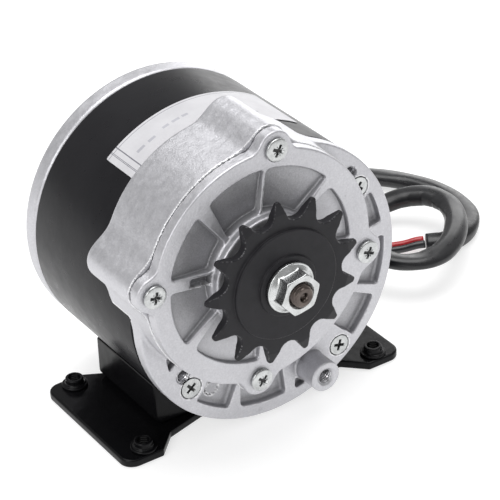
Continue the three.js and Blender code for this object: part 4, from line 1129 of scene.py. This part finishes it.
for i, (hx, hy) in enumerate(HOLES):
    def nut2(x, y, z, hx=hx, hy=hy):
        r = np.hypot(x - hx, y - hy)
        d = isect(r - 4.65, slab(z, 3.15, 4.05), 0.35)
        col = isect(r - 3.25, slab(z, 3.4, 6.4), 0.4)
        d = join(d, col, 0.9)
        bore = r - 2.12 - 0.16 * np.abs(((z / 0.8 + np.arctan2(y - hy, x - hx) / (2 * math.pi)) % 1.0) * 2 - 1)
        return cut(d, bore, 0.12)
    sdf_piece(f"clinch_nut_{i + 1}_formed", nut2, (hx - 5, hy - 5, 2.9), (hx + 5, hy + 5, 6.7), 0.2 * Q, MAT["bracket"], "housing", [f"clinch_nut_{i + 1}"])


# ---- rating label: thin film with rounded corners, rules and greyed-out lines in place of print
def label_mesh():
    a0, a1, y0, y1 = 59.0, 131.0, -11.5, 14.5
    R0, R1 = CAN_R + 0.12, CAN_R + 0.34
    L = rad(a1 - a0) * R1
    nu, nv = 300, 120
    bars = []
    r = np.random.default_rng(5)
    # u runs from the left end (131 deg), v from the rear edge
    def row(v, h, u, end, words):
        while u < end:
            w = r.uniform(*words)
            if u + w > end:
                break
            bars.append((u, u + w, v, v + h)); u += w + r.uniform(1.0, 1.8)
    row(9.4, 1.3, 8.0, 17.0, (2.4, 3.6))
    row(8.2, 1.3, 20.0, 31.0, (2.4, 4.0))
    row(14.0, 0.6, 37, 52, (3.0, 6.0))
    row(16.2, 0.6, 37, 50, (3.0, 6.0))
    row(18.4, 1.1, 50.5, 54, (1.4, 1.5))
    row(21.0, 1.0, 9.0, 34, (3, 6))
    us = np.linspace(0, L, nu + 1); vs = np.linspace(0, y1 - y0, nv + 1)
    V = []
    def corner(u, v):
        c = 0.8
        uu, vv = min(max(u, c), L - c), min(max(v, c), (y1 - y0) - c)
        du, dv = u - uu, v - vv
        d = math.hypot(du, dv)
        if d > c and d > 0:
            du, dv = du * c / d, dv * c / d
        return uu + du, vv + dv
    for u in us:
        for v in vs:
            cu, cv = corner(u, v)
            a = rad(a1) - cu / R1
            lift = 0.0
            V.append((AX + (R1 + lift) * math.cos(a), y1 - cv, AZ + (R1 + lift) * math.sin(a)))
    F, I = [], []
    def ink(u, v):
        if 2.3 < u < 2.62 or 2.9 < u < 3.06 or 5.0 < u < 5.28:
            return 1
        if 1.0 < v < 1.22:
            return 1
        for b in bars:
            if b[0] < u < b[1] and b[2] < v < b[3]:
                return 2
        return 0
    for i in range(nu):
        for j in range(nv):
            F.append((i * (nv + 1) + j, (i + 1) * (nv + 1) + j, (i + 1) * (nv + 1) + j + 1, i * (nv + 1) + j + 1))
            I.append(ink((us[i] + us[i + 1]) / 2, (vs[j] + vs[j + 1]) / 2))
    # rim and back
    n = len(V)
    ring = [(i, 0) for i in range(nu)] + [(nu, j) for j in range(nv)] + [(i, nv) for i in range(nu, 0, -1)] + [(0, j) for j in range(nv, 0, -1)]
    for i, j in ring:
        x, y, z = V[i * (nv + 1) + j]
        k = R0 / R1
        V.append((AX + (x - AX) * k, y, AZ + (z - AZ) * k))
    m = len(ring)
    for q in range(m):
        a, b = ring[q], ring[(q + 1) % m]
        F.append((b[0] * (nv + 1) + b[1], a[0] * (nv + 1) + a[1], n + q, n + (q + 1) % m)); I.append(0)
    me = raw_mesh("label", V, F, I)
    return me


lm = label_mesh()
co = np.empty(len(lm.vertices) * 3); lm.vertices.foreach_get("co", co)
link("rating_label_film", lm, [MAT["label"], MAT["label_ink"], MAT["label_grey"]], "housing", ["rating_label"], sharp=40)


# ---- grommet round the cable's exit
def place_radial(me, y=26.4, ang=-28):
    me.transform(Matrix.Translation((AX * MM, y * MM, AZ * MM)) @ Matrix.Rotation(-rad(ang), 4, "Y") @ Matrix.Rotation(-math.pi / 2, 4, "Z"))
    return me


gp = profile([(3.6, 45.0), (5.55, 45.0, 0.25), (5.55, 46.35, 0.25), (4.45, 46.5, 0.2), (4.45, 51.45, 0.1), (6.55, 51.5, 0.4), (6.55, 52.6, 0.35), (5.5, 53.2, 0.5), (5.15, 55.15, 0.35), (4.1, 55.15, 0.3), (3.6, 53.5)])
link("cable_grommet_moulded", place_radial(lathe_mesh("gr", gp, 0, 0, 72, closed=True)), MAT["rubber"], "housing", ["cable_grommet"], sharp=40)


# ---- two-pin connector
def conn_f(x, y, z):
    def bx(x0, x1, y0, y1, z0, z1, r):
        q = [slab(x, x0, x1) + r, slab(y, y0, y1) + r, slab(z, z0, z1) + r]
        return np.minimum(np.maximum(np.maximum(q[0], q[1]), q[2]), 0) + np.sqrt(sum(np.maximum(k, 0) ** 2 for k in q)) - r
    d = bx(4, 20, 57.6, 66.4, 0.1, 6.7, 0.7)
    d = join(d, bx(-2, 6, 58.4, 65.6, 0.7, 6.1, 0.6), 0.3)
    # mating cavities, wire entries, latch with its ramp, grip ribs
    for yy in (60.1, 63.9):
        d = cut(d, bx(-4, 3.5, yy - 1.35, yy + 1.35, 2.0, 4.8, 0.4), 0.15)
        d = cut(d, np.maximum(np.hypot(y - yy, z - 3.4) - 1.72, 16.5 - x), 0.2)
    latch = bx(5, 13, 60.6, 63.4, 6.2, 7.45, 0.3)
    latch = np.maximum(latch, (z - 7.45 - (x - 8.5) * 0.28) * 0.95)
    d = np.minimum(d, latch)
    for xx in (14.6, 16.2, 17.8):
        d = cut(d, np.maximum(np.abs(x - xx) - 0.35, np.maximum(6.35 - z, 0.3 - np.abs(y - 62) + 0 * x - 9)), 0.1)
    d = cut(d, bx(8, 16, 56, 58.0, 2.2, 4.6, 0.3), 0.15)
    d = cut(d, bx(8, 16, 66.0, 68, 2.2, 4.6, 0.3), 0.15)
    return d


conn = sdf_piece("connector_housing", conn_f, (-2.6, 57, -0.4), (20.6, 67, 8.1), 0.2 * Q, MAT["nylon"], "housing", ["connector"])



# ------------------------------------------------------------------ carried-over CAD nodes
KEEP = {
    "cable_grommet": "rubber", "connector": "nylon",
}
ALL = {"motor_can": "can", "rear_end_cap": "cast", "front_end_bell": "cast", "gear_cover": "cast", "base_plate": "bracket",
       "saddle_web_left": "bracket", "saddle_web_right": "bracket", "rating_label": "label", "output_shaft": "shaft_dark", "sprocket": "oxide",
       "flange_nut": "zinc", "output_gear": "steel", "intermediate_gear": "steel", "intermediate_pin": "steel", "armature_shaft": "steel",
       "armature_core": "core", "armature_windings": "winding", "commutator": "copper_bar", "brush_plate": "phenolic", "cable_grommet": "rubber",
       "connector": "nylon", "cable_sleeve": "sleeve", "lead_red": "lead_red", "lead_black": "lead_black",
       "output_bearing_front": "steel", "output_bearing_rear": "steel", "armature_bearing_front": "steel", "armature_bearing_rear": "steel"}
for i in range(1, 5):
    ALL.update({f"cover_screw_{i}": "zinc", f"through_bolt_{i}": "zinc", f"clinch_nut_{i}": "bracket", f"magnet_{i}": "ferrite",
                f"brush_holder_{i}": "brass", f"brush_{i}": "carbon", f"brush_spring_{i}": "spring"})
for node, key in ALL.items():
    ob = bpy.data.objects[node]
    if len(ob.data.materials) == 0:
        ob.data.materials.append(MAT[key])
    for k in range(len(ob.material_slots)):
        ob.material_slots[k].material = MAT[key]

# ------------------------------------------------------------------ floor and light
me = bpy.data.meshes.new("floor")
me.from_pydata([(-6, -6, 0), (6, -6, 0), (6, 6, 0), (-6, 6, 0)], [], [(0, 1, 2, 3)])
fm = M("floor_paper", Roughness=0.9, Emission_Color=(1, 1, 1, 1), Emission_Strength=0.66)
fm.set(Base_Color=fm.ramp(fm.noise(3), [(0.3, (0.44, 0.44, 0.44)), (0.7, (0.47, 0.47, 0.47))]))
me.materials.append(fm.mat)
floor = bpy.data.objects.new("floor", me)
bpy.context.scene.collection.objects.link(floor)

w = bpy.data.worlds.new("studio")
bpy.context.scene.world = w
w.use_nodes = True
w.node_tree.nodes["Background"].inputs["Color"].default_value = (1, 1, 1, 1)
w.node_tree.nodes["Background"].inputs["Strength"].default_value = 0.42


def area(name, loc, target, size, power, size_y=None, color=(1, 1, 1)):
    d = bpy.data.lights.new(name, "AREA")
    d.shape = "RECTANGLE"; d.size = size; d.size_y = size_y or size
    d.energy = power; d.color = color
    o = bpy.data.objects.new(name, d)
    bpy.context.scene.collection.objects.link(o)
    o.location = loc
    o.rotation_euler = (Vector(target) - Vector(loc)).to_track_quat("-Z", "Y").to_euler()
    return o


area("key", (0.1, 0.15, 1.3), (0, 0, 0.05), 1.2, 16)
area("left", (-1.1, -0.4, 0.7), (0, 0, 0.06), 0.7, 6)
area("rim", (1.2, 0.9, 0.5), (0, 0, 0.06), 0.9, 6)
